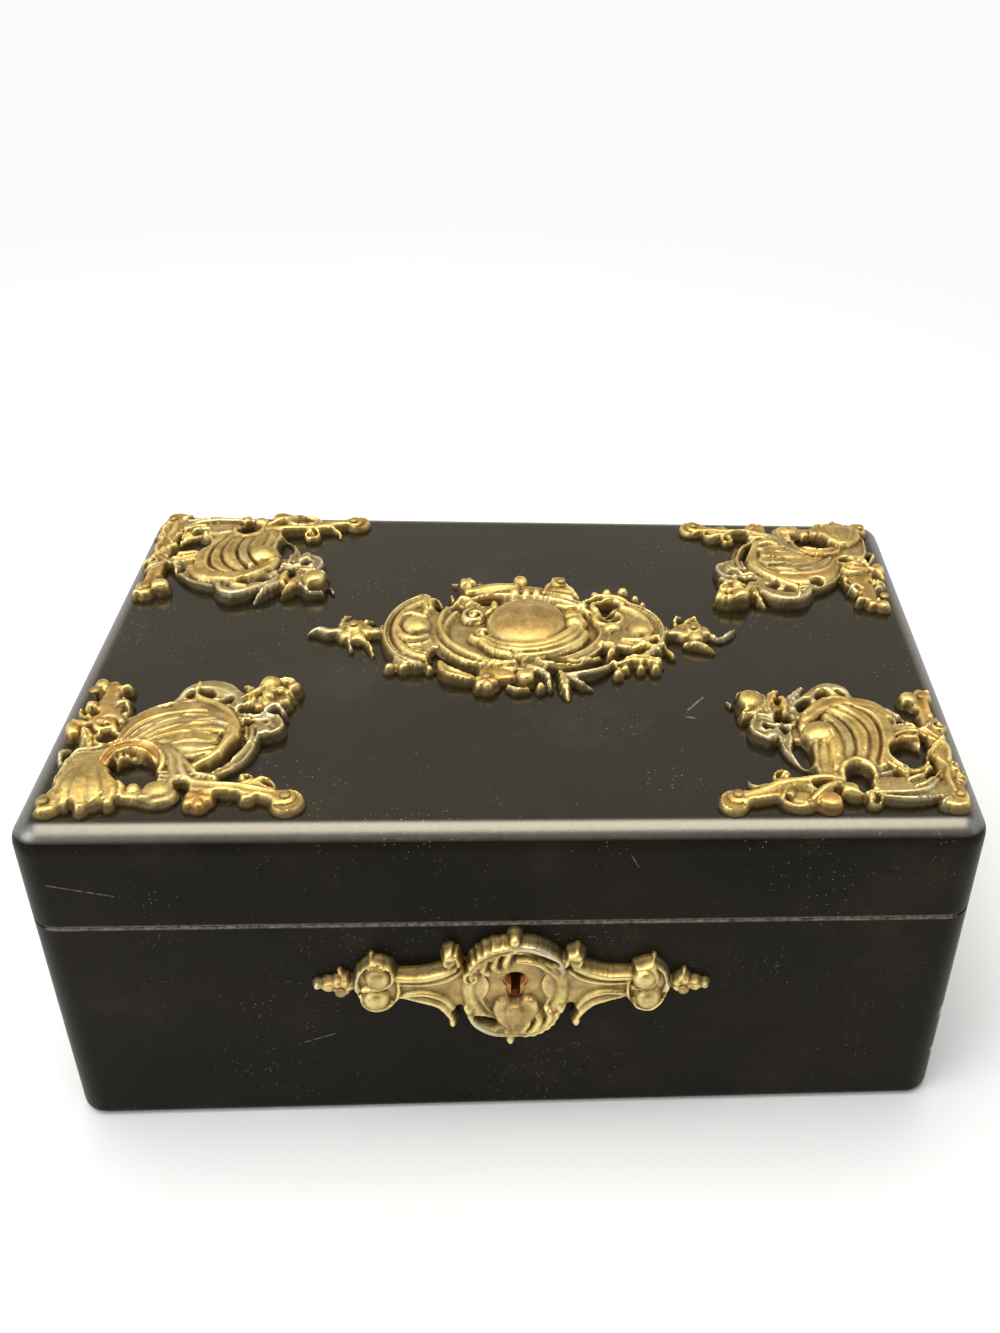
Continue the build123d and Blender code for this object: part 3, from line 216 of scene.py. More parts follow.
# Corner mount with a standing shell, measured the same way
STANDING = [
    Strand([(8, 12, 6.6, 2.8), (8.4, 22, 6.2, 3), (8.6, 34, 6.4, 3.2), (9.2, 44, 5.6, 3.2),
        (10.2, 51, 6.4, 3.2)], "round", "tan"),
    Strand([(12, 13.6, 7, 2.4), (18, 14, 10, 2.4), (25, 14.6, 9, 2.4), (29.6, 16, 6, 2.6)], "flat", "dull"),
    Dome(32.6, 34.6, 18.6, 15.8, 0, 2.4, "flat", "dull"),
    Dome(32, 35, 12.5, 13.5, 0, 3, "ball", "dull"),
    Loop(33, 34.8, 18.2, 15.4, 0, 360, 4.2, 3.6, "rimmed", "pale"),
    Strand([(30, 47.4, 2.4, 4.8), (24.4, 43.6, 3.8, 4.8), (22.6, 37, 4.2, 4.8), (23.6, 29.6, 3.8, 4.6),
        (26, 22.4, 2.4, 4)], "rib"),
    Strand([(33.4, 46.4, 2.2, 5), (28.6, 41.8, 3.6, 5), (26.6, 35.6, 3.4, 5), (27.2, 29, 3.4, 4.8),
        (29.2, 22.4, 2.6, 4.2)], "rib", "tan"),
    Strand([(36.6, 44.8, 2.2, 5.2), (32.4, 39.8, 4.4, 5.3), (30.4, 34, 4.6, 5.3), (30.8, 28.4, 4.4, 5),
        (32.2, 23.6, 3, 4.6)], "rib"),
    Strand([(38.6, 41.6, 2, 5.4), (35.8, 37, 3.2, 5.4), (34.4, 32, 3.4, 5.2), (34.6, 27.4, 3.2, 5),
        (35.4, 23.6, 2.4, 4.6)], "rib", "dull"),
    Strand([(39.2, 37, 2.4, 5.2), (37.8, 32, 4.4, 5.3), (38, 26.8, 4.8, 5), (38.8, 21.6, 3, 4.2)], "rib"),
    Strand([(40.6, 30, 2.8, 4.8), (41.6, 25.6, 3.8, 4.6), (42, 21, 3.4, 4.2), (41.4, 17.4, 2.4, 3.8)],
        "rib"),
    Strand([(43.2, 30.6, 2, 4.4), (44.2, 26, 2.6, 4.2), (44.4, 21.4, 2.4, 4), (43.8, 17.6, 2, 3.8)],
        "round", "dull"),
    Strand([(45.6, 37.6, 2.4, 5), (43.4, 42.4, 3.4, 5.2), (38.4, 46.4, 3.8, 5.2), (31.6, 48.2, 4, 5.1),
        (24.6, 46.8, 3.8, 4.9), (20.6, 42.6, 2.4, 4.4)], "rib", "tan"),
    Dome(41.4, 34.8, 4.9, 4.4, 0, 6.6),
    Strand([(38.2, 17.4, 2, 4.2), (37.4, 21.2, 2.4, 4.8), (33.6, 23.6, 2.6, 5), (30, 21.4, 2.4, 4.8),
        (29.2, 17.6, 2, 4.2)]),
    Loop(33.6, 18.2, 4.2, 4, -20, 220, 1.4, 3.8, "round", "tan"),
    Strand([(8.6, 33.6, 2.2, 3.6), (13, 37.2, 3.8, 4.2), (18, 37, 4, 4.5), (22.2, 34, 3.6, 4.6),
        (24.2, 29, 3.2, 4.5), (23.8, 24, 3, 4.3), (21, 20.8, 2.8, 4.1), (16.6, 21.2, 2.4, 3.8),
        (13.2, 23.8, 2, 3.6)], "rimmed"),
    Strand([(14.8, 33.6, 2.2, 4.2), (18.4, 33.2, 2.4, 4.4), (21.2, 30.2, 2, 4.2)], "round", "copper"),
    Strand([(6, 34.6, 1.8, 3.8), (8.6, 31.4, 2.8, 4.4), (12, 27.8, 2.6, 4.2), (14.6, 25.6, 1.6, 3.6)],
        "leaf"),
    Dome(14, 25.4, 1.9, 1.5, 20, 3.8),
    Strand([(12.6, 21.8, 1.6, 3.8), (16.2, 18.4, 2, 4), (20, 16.6, 1.8, 3.6)], "round", "dull"),
    Strand([(11, 20, 1.4, 3.6), (15.2, 15.6, 1.6, 3.6), (18.6, 14.2, 1.2, 3.2)]),
    Strand([(12.2, 16.8, 1.5, 3.4), (15.6, 13.2, 1.8, 3.6), (21, 11.6, 1.8, 3.8), (30, 11.4, 1.8, 3.8)],
        "round", "pale"),
    Strand([(12.6, 10.6, 1.6, 3), (16.6, 9.6, 1.7, 3.2), (22, 9.2, 1.8, 3.4), (28.6, 10, 1.8, 3.4)],
        "round", "pale"),
    Curl(31.2, 9.4, 2.7, 40, 1.35, 1.6, 3.8),
    Strand([(30.6, 14.4, 1.8, 3.8), (31.8, 12, 1.8, 3.8), (31.6, 9.6, 1.6, 3.6)]),
    Dome(36.8, 12.6, 3, 2.6, 20, 4.6),
    Strand([(33, 10.8, 1.6, 3.4), (35.8, 11, 2.6, 4), (39, 12, 2, 3.8)]),
    Strand([(38, 16.6, 3.2, 4), (43, 17, 3.4, 4.4), (49, 16.2, 3.2, 4.2), (54.6, 15.4, 3, 4),
        (60, 13, 3, 3.6), (65, 11.4, 3.4, 3.3)]),
    Strand([(54, 12.4, 4, 3), (60, 11.4, 4.4, 3), (65, 10.6, 4.4, 3)], "flat"),
    Loop(50.2, 11, 5.3, 3.9, 0, 360, 2.2, 4, "rimmed"),
    Dome(49.6, 11, 4, 2.6, 8, 1.8, "flat", "dull"),
    Dome(43.2, 9.2, 4.4, 3.6, 24, 4, "ball", "copper"),
    Strand([(39.6, 14.6, 2.4, 4.4), (43.4, 12.4, 3, 5.2), (47.4, 8.8, 1.8, 4)]),
    Curl(53.8, 18.8, 2.8, 300, 1.2, 1.7, 4),
    Strand([(56.4, 15.8, 1.6, 3.6), (60.4, 14.8, 1.8, 3.4), (62.8, 16.2, 1.4, 3.2), (63.2, 18.2, 0.7, 3)]),
    Dome(68, 9.8, 4.3, 4.4, 0, 2, "flat"),
    Loop(68, 9.8, 3.7, 3.8, 0, 360, 0.9, 2.7),
    Dome(67.2, 10.6, 2.1, 2.1, 0, 3.2, "flat", "tan"),
    Dome(8.6, 8.2, 3.8, 2.6, 0, 3, "flat"),
    Strand([(10.6, 9.6, 1.8, 3.4), (13, 8.2, 1.8, 3.6), (12, 6.8, 1.2, 3)], "round", "pale"),
    Dome(7.2, 10.6, 2.8, 2.8, 0, 3.1, "flat"),
    Strand([(8.6, 12.4, 1.8, 3.4), (9.2, 17.6, 2.2, 3.8), (8.4, 22, 1.8, 3.6), (10.4, 25.6, 1.6, 3.6)]),
    Curl(5.9, 16.8, 2, 90, 1.2, 1.3, 3.8),
    Curl(5.8, 22, 2.1, 200, 1.2, 1.3, 3.8),
    Strand([(7, 25, 1.8, 3.8), (6.2, 29, 2.2, 4.2), (7.6, 32.6, 1.6, 3.8)]),
    Curl(7, 38.6, 2.5, 150, 1.3, 1.5, 4.4),
    Strand([(5.6, 41.8, 1.4, 3.8), (8, 40.6, 2.2, 4.2), (10.6, 38.4, 1.6, 3.8)], "round", "pale"),
    Strand([(8, 44, 3, 3.6), (8.2, 48, 3.2, 3.8), (8, 51, 2.6, 3.8)], "round", "copper"),
    Dome(12.8, 51.4, 3.2, 2.9, 20, 4.8),
    Dome(7.4, 52.2, 2.6, 2.6, 0, 4),
    Strand([(11.6, 50.2, 1.6, 4), (14.4, 49.6, 1.8, 4), (15.6, 52.4, 1.2, 3.6)]),
    Dome(6.2, 55, 1.6, 1.6, 0, 3.6),
    Dome(8.8, 54.4, 2.5, 2.5, 0, 3.5),
    Dome(56.6, 47.8, 5.6, 5, 0, 3.2, "flat", "tan"),
    Strand([(29.6, 49.6, 2.4, 4), (31.4, 54.2, 3.8, 4.6), (35.6, 55.8, 5.2, 4.6), (39.6, 54.2, 4.6, 4.6),
        (43.4, 50.6, 3.6, 4.2), (47.6, 46.6, 3.4, 4.2)], "round", "pale"),
    Strand([(33.6, 50.6, 2.4, 4.8), (36, 53.2, 3.6, 5.6), (39, 53.8, 2.6, 5.2)]),
    Strand([(31.2, 49.2, 2.2, 5.2), (35.6, 50, 2.6, 5.4), (40.2, 47, 2.8, 5.6), (44.6, 42.6, 2.4, 5.4)]),
    Strand([(49.6, 44.6, 1.8, 4.2), (48.2, 49.4, 4.2, 4.6), (45, 54, 3.4, 4.6), (42.4, 58.2, 1.2, 4)],
        "leaf", "pale"),
    Strand([(50.4, 44.2, 2, 4.6), (49.6, 47.6, 2.8, 5), (50.2, 51.2, 2, 4.8)]),
    Strand([(54.4, 47.4, 2, 4.4), (53, 51.6, 4.2, 5), (50.6, 54.8, 2, 4.6)], "leaf", "tan"),
    Strand([(54, 44, 3.8, 4.2), (55.6, 48.6, 3.4, 4.6), (57.6, 52.4, 3.2, 4.6)], "leaf", "pale"),
    Dome(59.6, 49, 4, 4.2, 0, 6.8),
    Loop(60, 50, 4.8, 4.6, 60, 130, 1.7, 4.6, "round", "pale"),
    Strand([(64.6, 50.4, 1.2, 3.6), (65.6, 52.2, 0.9, 3.4)], "round", "pale"),
    Strand([(55.6, 47.2, 1.8, 5), (58, 44.4, 2.6, 5), (62.2, 43.2, 1.6, 4.2)], "leaf"),
    Strand([(57, 46.4, 1.6, 4.8), (60, 45.4, 2, 4.8), (62.8, 44.6, 1.2, 4.2)]),
    Strand([(49, 40, 3.4, 4), (53.6, 40.6, 4, 4.2), (57.8, 41.4, 4.6, 4.6), (58.8, 37.4, 4.8, 4.8),
        (55.4, 34.2, 4.2, 4.6)], "rimmed", "pale"),
    Strand([(50.6, 38.4, 2.4, 3.6), (53.6, 36.4, 3.8, 4.2), (55, 34.4, 4.2, 4.6)], "round", "pale"),
    Line([(31.6, 46.6), (26.6, 42.6), (24.8, 36.4), (25.6, 29), (27.8, 23)], 0.42, -0.6),
    Line([(35, 45.2), (30.6, 41), (28.2, 35), (28.6, 29), (30.6, 23.6)], 0.42, -0.5),
    Line([(37.8, 43), (34.2, 38.6), (32.6, 33), (32.8, 28), (33.8, 24.6)], 0.42, -0.6),
    Line([(39, 39.6), (36.8, 35), (36, 29.6), (36.6, 25)], 0.42, -0.6),
    Line([(40.2, 30), (40.6, 26), (40.8, 21.6)], 0.42, -0.6),
    Line([(30.8, 46.8), (25.4, 43), (23.8, 36.6), (24.6, 29.4), (26.8, 23.4)], 0.4, 0.35),
    Line([(36.2, 43.8), (31.6, 39.4), (29.6, 33.6), (30.2, 27.4)], 0.4, 0.35),
    Line([(38.6, 34.6), (37.6, 30), (38.2, 25)], 0.4, 0.3),
    Line([(45.2, 38.8), (41.6, 39.8), (37.8, 38)], 0.5, -0.8),
    Line([(47.8, 21), (50.4, 26), (51.8, 33)], 0.6, -0.8),
    Hole(17.9, 27.2, 4.8, 4.3, 24),
    Hole(33.4, 17.6, 3, 3.3, 0),
    Hole(32.2, 14.6, 1.5, 2, 35),
    Hole(47.2, 28, 2, 5.2, -8),
    Hole(37.8, 51.4, 1.1, 1, 0),
    Hole(44, 48.2, 2.3, 0.9, -38),
    Hole(50.2, 42.2, 2.6, 0.9, -6),
    Hole(51.2, 37.6, 0.9, 0.6, 0),
    Hole(12.3, 46.2, 0.9, 1.3, 10),
    Hole(17, 41.6, 0.7, 1.5, 20),
]

# Centre mount of the lid, measured from its own middle
CARTOUCHE = [
    Dome(-1, 1, 27.5, 20.5, 0, 1.5, "flat", "dull"),
    Loop(0.5, 1.5, 25.2, 19.2, 0, 360, 4.2, 3.8, "rimmed", "dull"),
    Strand([(-23.6, 12.5, 2, 4), (-24.8, 3, 2.2, 4.2), (-21.8, -5.6, 2.2, 4.4), (-15.6, -12, 2.4, 4.6),
        (-9, -15.8, 2, 4.4)]),
    Strand([(-17, 20.6, 3.6, 4.4), (-10, 22.8, 4.4, 5), (-2.6, 23.8, 3.8, 4.8)]),
    Strand([(-16.4, 17.2, 1.6, 4), (-9.6, 18.8, 1.6, 4.2), (-4, 19.4, 1.6, 4.2)], "round", "tan"),
    Strand([(-20.6, 14, 2, 4.4), (-19, 17, 2.6, 4.8), (-16, 15, 2, 4.6), (-18, 12.4, 1.6, 4)]),
    Curl(-14.6, 8.6, 3.4, 130, 1.4, 1.9, 3.8, "dull"),
    Strand([(-9.4, 16.8, 1.8, 4.2), (-8.6, 12.6, 2.6, 4.4), (-11, 9.4, 1.8, 3.8)], "leaf"),
    Curl(-11.8, -2, 3.2, 200, 1.3, 1.9, 4.2),
    Dome(1.6, 2.4, 11.8, 12, 0, 8.4, "smooth", "tan"),
    Fan([(-12.4, -6, 4), (-8, -11.6, 4.6), (0, -15.4, 5.2), (9, -14.6, 5.6), (17, -8.6, 5.2),
        (20.6, -0.6, 4.4)], [(-10.6, -4, 4.6), (-5.6, -8.4, 5.8), (1.6, -9.8, 6.4), (8.6, -8, 6.8),
        (13.8, -2.8, 6.6), (16, 2, 5.4)], 3),
    Dome(15.4, 4.8, 4, 4.6, 20, 6, "leaf"),
    Strand([(11, 14, 1.8, 4), (14.2, 12.6, 2.2, 4.4), (17.6, 12.8, 1.8, 4.4), (20.6, 10, 1.6, 4)]),
    Dome(18.4, 13, 1.9, 1.8, 0, 5),
    Loop(26.6, 6.6, 4.2, 3.6, 0, 360, 1.9, 4.2),
    Loop(26.6, 12.6, 4.8, 3.4, 20, 200, 2.2, 4.8),
    Dome(27.4, 0.8, 3, 2.4, 0, 5.6),
    Dome(36.4, 0.6, 4.2, 3.8, 0, 5.8),
    Dome(33, 3, 9.5, 12, 0, 3.4, "flat", "dull"),
    Loop(28, 0, 15.2, 15, -52, 118, 3, 4.4, "reeded", "dull"),
    Loop(26.6, 0.6, 12.2, 12.2, -36, 104, 2.6, 4.8),
    Strand([(20, 17.2, 2.2, 4), (25, 18.6, 3, 4.6), (30.4, 17.6, 2.8, 4.6), (34.6, 13.6, 2.2, 4.2)]),
    Dome(22.6, 20.6, 2, 1.9, 0, 3.8, "ball", "dull"),
    Dome(26.6, 21.8, 2.1, 2, 0, 4),
    Dome(31.6, 21.8, 2.4, 2.2, 0, 4.6),
    Dome(35.4, 18.4, 1.9, 1.8, 0, 4, "ball", "dull"),
    Dome(37.6, 15.6, 1.6, 1.5, 0, 3.6),
    Strand([(30.6, -4.6, 2, 4.2), (36, -5.6, 2.6, 4.8), (41.4, -2.8, 2, 4.2)]),
    Strand([(33.6, -8.6, 2.2, 4), (37.6, -7.4, 3.2, 4.8), (41.6, -9.4, 2.2, 4.2)], "leaf"),
    Strand([(29.4, -15, 2.4, 3.4), (34, -13.6, 5.2, 4.2), (40.6, -14.4, 4, 3.8)], "leaf"),
    Dome(31, -17.4, 1.6, 1.6, 0, 3.2),
    Dome(35.4, -17.4, 1.7, 1.7, 0, 3.4),
    Dome(39.8, -17.4, 1.9, 1.8, 0, 3.6),
    Strand([(42.6, -3.8, 1.8, 3.8), (43.8, -8, 1.8, 3.6), (45.6, -10.6, 1.8, 3.6)]),
    Strand([(24, -6.6, 3, 4.4), (27.4, -8.6, 3.6, 5), (26, -12.4, 2.6, 4.4)], "leaf"),
    Dome(27, -11, 1.8, 1.8, 0, 4.8),
    Strand([(39.6, 0.6, 4, 3.2), (44, 0.6, 4, 3.2), (49, 0.6, 4.4, 3.4)], "round", "dull"),
    Dome(52.4, 1.6, 6, 5.4, 0, 3.6, "rosette"),
    Dome(52.6, 1.2, 2.9, 2.7, 0, 4.8),
    Strand([(46.6, 2, 1.8, 3.6), (47.4, 7.4, 2.4, 4.4), (49.4, 10.4, 1.2, 3.6)], "leaf", "dull"),
    Strand([(50.6, 5.6, 1.8, 4), (53.4, 8.8, 1.8, 4), (54.4, 7, 1.4, 3.6)]),
    Strand([(49.6, -4.8, 1.8, 3.6), (54, -5.6, 2.4, 3.8), (58, -7.6, 1.4, 3.4)]),
    Strand([(57, 1, 2.6, 3.2), (60.4, -1.4, 2, 3), (64, 1.4, 2.2, 3.2), (66.2, 4.6, 0.9, 3.2)],
        "leaf", "pale"),
    Dome(-32, 1, 8.6, 16, 0, 3.4, "flat", "dull"),
    Loop(-26, 0.5, 14.8, 18.4, 105, 150, 3, 4.4, "reeded", "dull"),
    Loop(-26, 0.5, 11.6, 15.2, 100, 160, 2.8, 4.8),
    Strand([(-33.6, 20.6, 1.4, 4), (-31, 16.8, 3, 5), (-28.6, 11.6, 4, 5.6), (-29.6, 7.6, 2.4, 4.8)],
        "leaf"),
    Strand([(-28.6, 19, 1.4, 3.6), (-26.4, 17.6, 1.8, 3.8), (-25, 15, 1.4, 3.6)], "round", "dull"),
    Dome(-31.6, 1.4, 4.4, 4, 0, 6),
    Strand([(-36.6, 6.4, 2, 4.6), (-33.6, 7.6, 2.6, 5), (-29.4, 6, 2, 4.8)], "round", "tan"),
    Strand([(-37.4, 1.4, 1.8, 4.6), (-35.4, -4, 3.2, 5.2), (-31, -5.6, 2.6, 5), (-28, -3.4, 1.8, 4.4)]),
    Strand([(-34.4, -8.4, 1.8, 4.4), (-30, -8.6, 2.6, 4.8), (-26.8, -6, 1.8, 4.4)], "leaf"),
    Strand([(-36.4, -13.6, 2.2, 3.6), (-31.8, -11.8, 3, 4.6), (-27, -12.8, 2.4, 4.2)], "leaf"),
    Dome(-32.4, -15.6, 6.4, 2.8, 0, 2.8, "ball", "dull"),
    Dome(-38, -17.4, 1.8, 1.7, 0, 3.4),
    Dome(-33.6, -17.6, 1.9, 1.7, 0, 3.6),
    Dome(-29.6, -16.8, 1.9, 1.7, 0, 3.6),
    Dome(-26.2, -17.8, 1.5, 1.5, 0, 3.2, "ball", "dull"),
    Strand([(-43.6, 0.6, 4.2, 3.2), (-38.6, 0.6, 4.4, 3.4)], "round", "dull"),
    Dome(-49.6, 1, 6, 5.8, 0, 3.6, "rosette"),
    Dome(-50, 1, 2.7, 2.7, 0, 4.8),
    Strand([(-54.6, 3.6, 2, 3.6), (-53.6, 7.4, 2.2, 4), (-52.4, 10.2, 1, 3.4)], "leaf", "dull"),
    Strand([(-46.8, 4.6, 1.6, 3.8), (-45, 6.2, 1.6, 3.6)]),
    Strand([(-46.6, -3.6, 1.8, 3.8), (-44.6, -6.6, 2.2, 3.8), (-43.4, -9.6, 1.2, 3.2)], "leaf"),
    Strand([(-51, -4.4, 1.8, 3.6), (-50, -7.6, 1.6, 3.4)], "round", "pale"),
    Strand([(-54, 0.6, 3.6, 3.4), (-57.4, 0, 3.6, 3.4), (-60, 1.2, 3.4, 3.4), (-63.4, 0.6, 1.4, 3)],
        "round", "pale"),
    Strand([(-23.4, -15.4, 3, 4.2), (-20.8, -20.4, 4.6, 5), (-14.6, -22.8, 3.6, 4.4)], "rimmed"),
    Strand([(-20.6, -12.6, 2, 4.2), (-15.4, -16.8, 3, 4.8), (-10.6, -17.6, 2, 4.4)], "leaf"),
    Strand([(-12.4, -14.6, 2, 4.4), (-7, -17.6, 3.2, 5), (-1.6, -16.4, 2.2, 4.6)], "leaf"),
    Dome(-6.6, -20.4, 6.2, 3.8, -10, 3.4, "ball", "tan"),
    Dome(-9.6, -25.2, 4.2, 3.8, 0, 4.4, "rosette", "tan"),
    Dome(1.8, -23, 3.2, 3.2, 0, 5.2),
    Strand([(-3.4, -25.8, 1.6, 3.6), (-0.6, -27.6, 1.8, 3.8), (2.4, -27.2, 1.6, 3.6)]),
    Strand([(2.6, -19, 2.4, 4.6), (7.4, -22, 3.6, 4.8), (9, -26.6, 2, 4)], "leaf", "pale"),
    Dome(6, -26.6, 1.7, 1.7, 0, 3.8),
    Strand([(11.8, -20.6, 3, 4), (13, -25.6, 4.4, 4), (14, -30.8, 0.9, 2.8)], "leaf", "dull"),
    Strand([(14.8, -22.4, 2.4, 3.8), (17.8, -25, 2.6, 3.8), (20.8, -26, 1, 3.2)], "leaf", "pale"),
    Strand([(5, -16, 1.8, 4.4), (11.6, -17.8, 2, 4.6), (18.6, -15.6, 2, 4.4), (23.6, -12, 1.6, 4)]),
    Strand([(12, -22, 2.2, 3.8), (19, -21, 3, 4.2), (25, -17.6, 2.2, 3.8), (27.4, -14, 1.6, 3.6)],
        "round", "pale"),
    Dome(28.6, -20.2, 1.9, 1.8, 0, 3.6),
    Strand([(27.6, -14.4, 1.6, 3.4), (28.8, -18, 1.6, 3.4)], "round", "dull"),
    Dome(-17.6, 25.4, 3.6, 3.2, 0, 5.2, "rosette"),
    Strand([(-19.4, 26.6, 2, 3.6), (-22.6, 29, 0.9, 3)], "leaf", "dull"),
    Strand([(-15.6, 27, 2, 3.6), (-12.8, 29.2, 0.9, 3)], "leaf", "dull"),
    Strand([(-17.6, 21.6, 3.6, 3.4), (-18.6, 24.6, 3, 3.6)]),
    Strand([(-21.6, 17.6, 2, 3.6), (-22.4, 20.6, 1.8, 3.6)], "round", "dull"),
    Dome(-1, 27.8, 3, 3, 0, 4.6),
    Dome(-2.6, 20.2, 1.8, 2.4, 0, 5),
    Dome(1, 20.4, 1.6, 2.6, 0, 4.8),
    Dome(4.2, 20.6, 1.6, 2.4, 0, 4.6),
    Strand([(0.6, 23.6, 4.4, 3.6), (5, 23, 4.4, 3.6)], "round", "tan"),
    Dome(10.8, 22, 6.6, 4.4, -8, 3.6, "leaf"),
    Strand([(6.6, 20.6, 1.6, 4.2), (8, 25, 1.8, 4.4), (9.4, 28.6, 1.4, 4.2)]),
    Strand([(17.6, 19.6, 1.6, 4.2), (15, 24, 1.8, 4.2), (13, 28, 1.4, 4.2)], "round", "dull"),
    Dome(11, 28, 3.1, 3.1, 0, 4),
    Line([(-2.4, -13.4), (0, -16.6)], 0.5, -0.9),
    Hole(-10.4, 17, 4, 0.6, 8),
    Hole(-19.4, 12, 1.5, 0.6, 12),
    Hole(27, 6.4, 2.2, 1.7, 0),
    Hole(26.4, 9.9, 1.6, 0.7, 0),
    Hole(14, -15.8, 3.4, 0.5, 8),
]

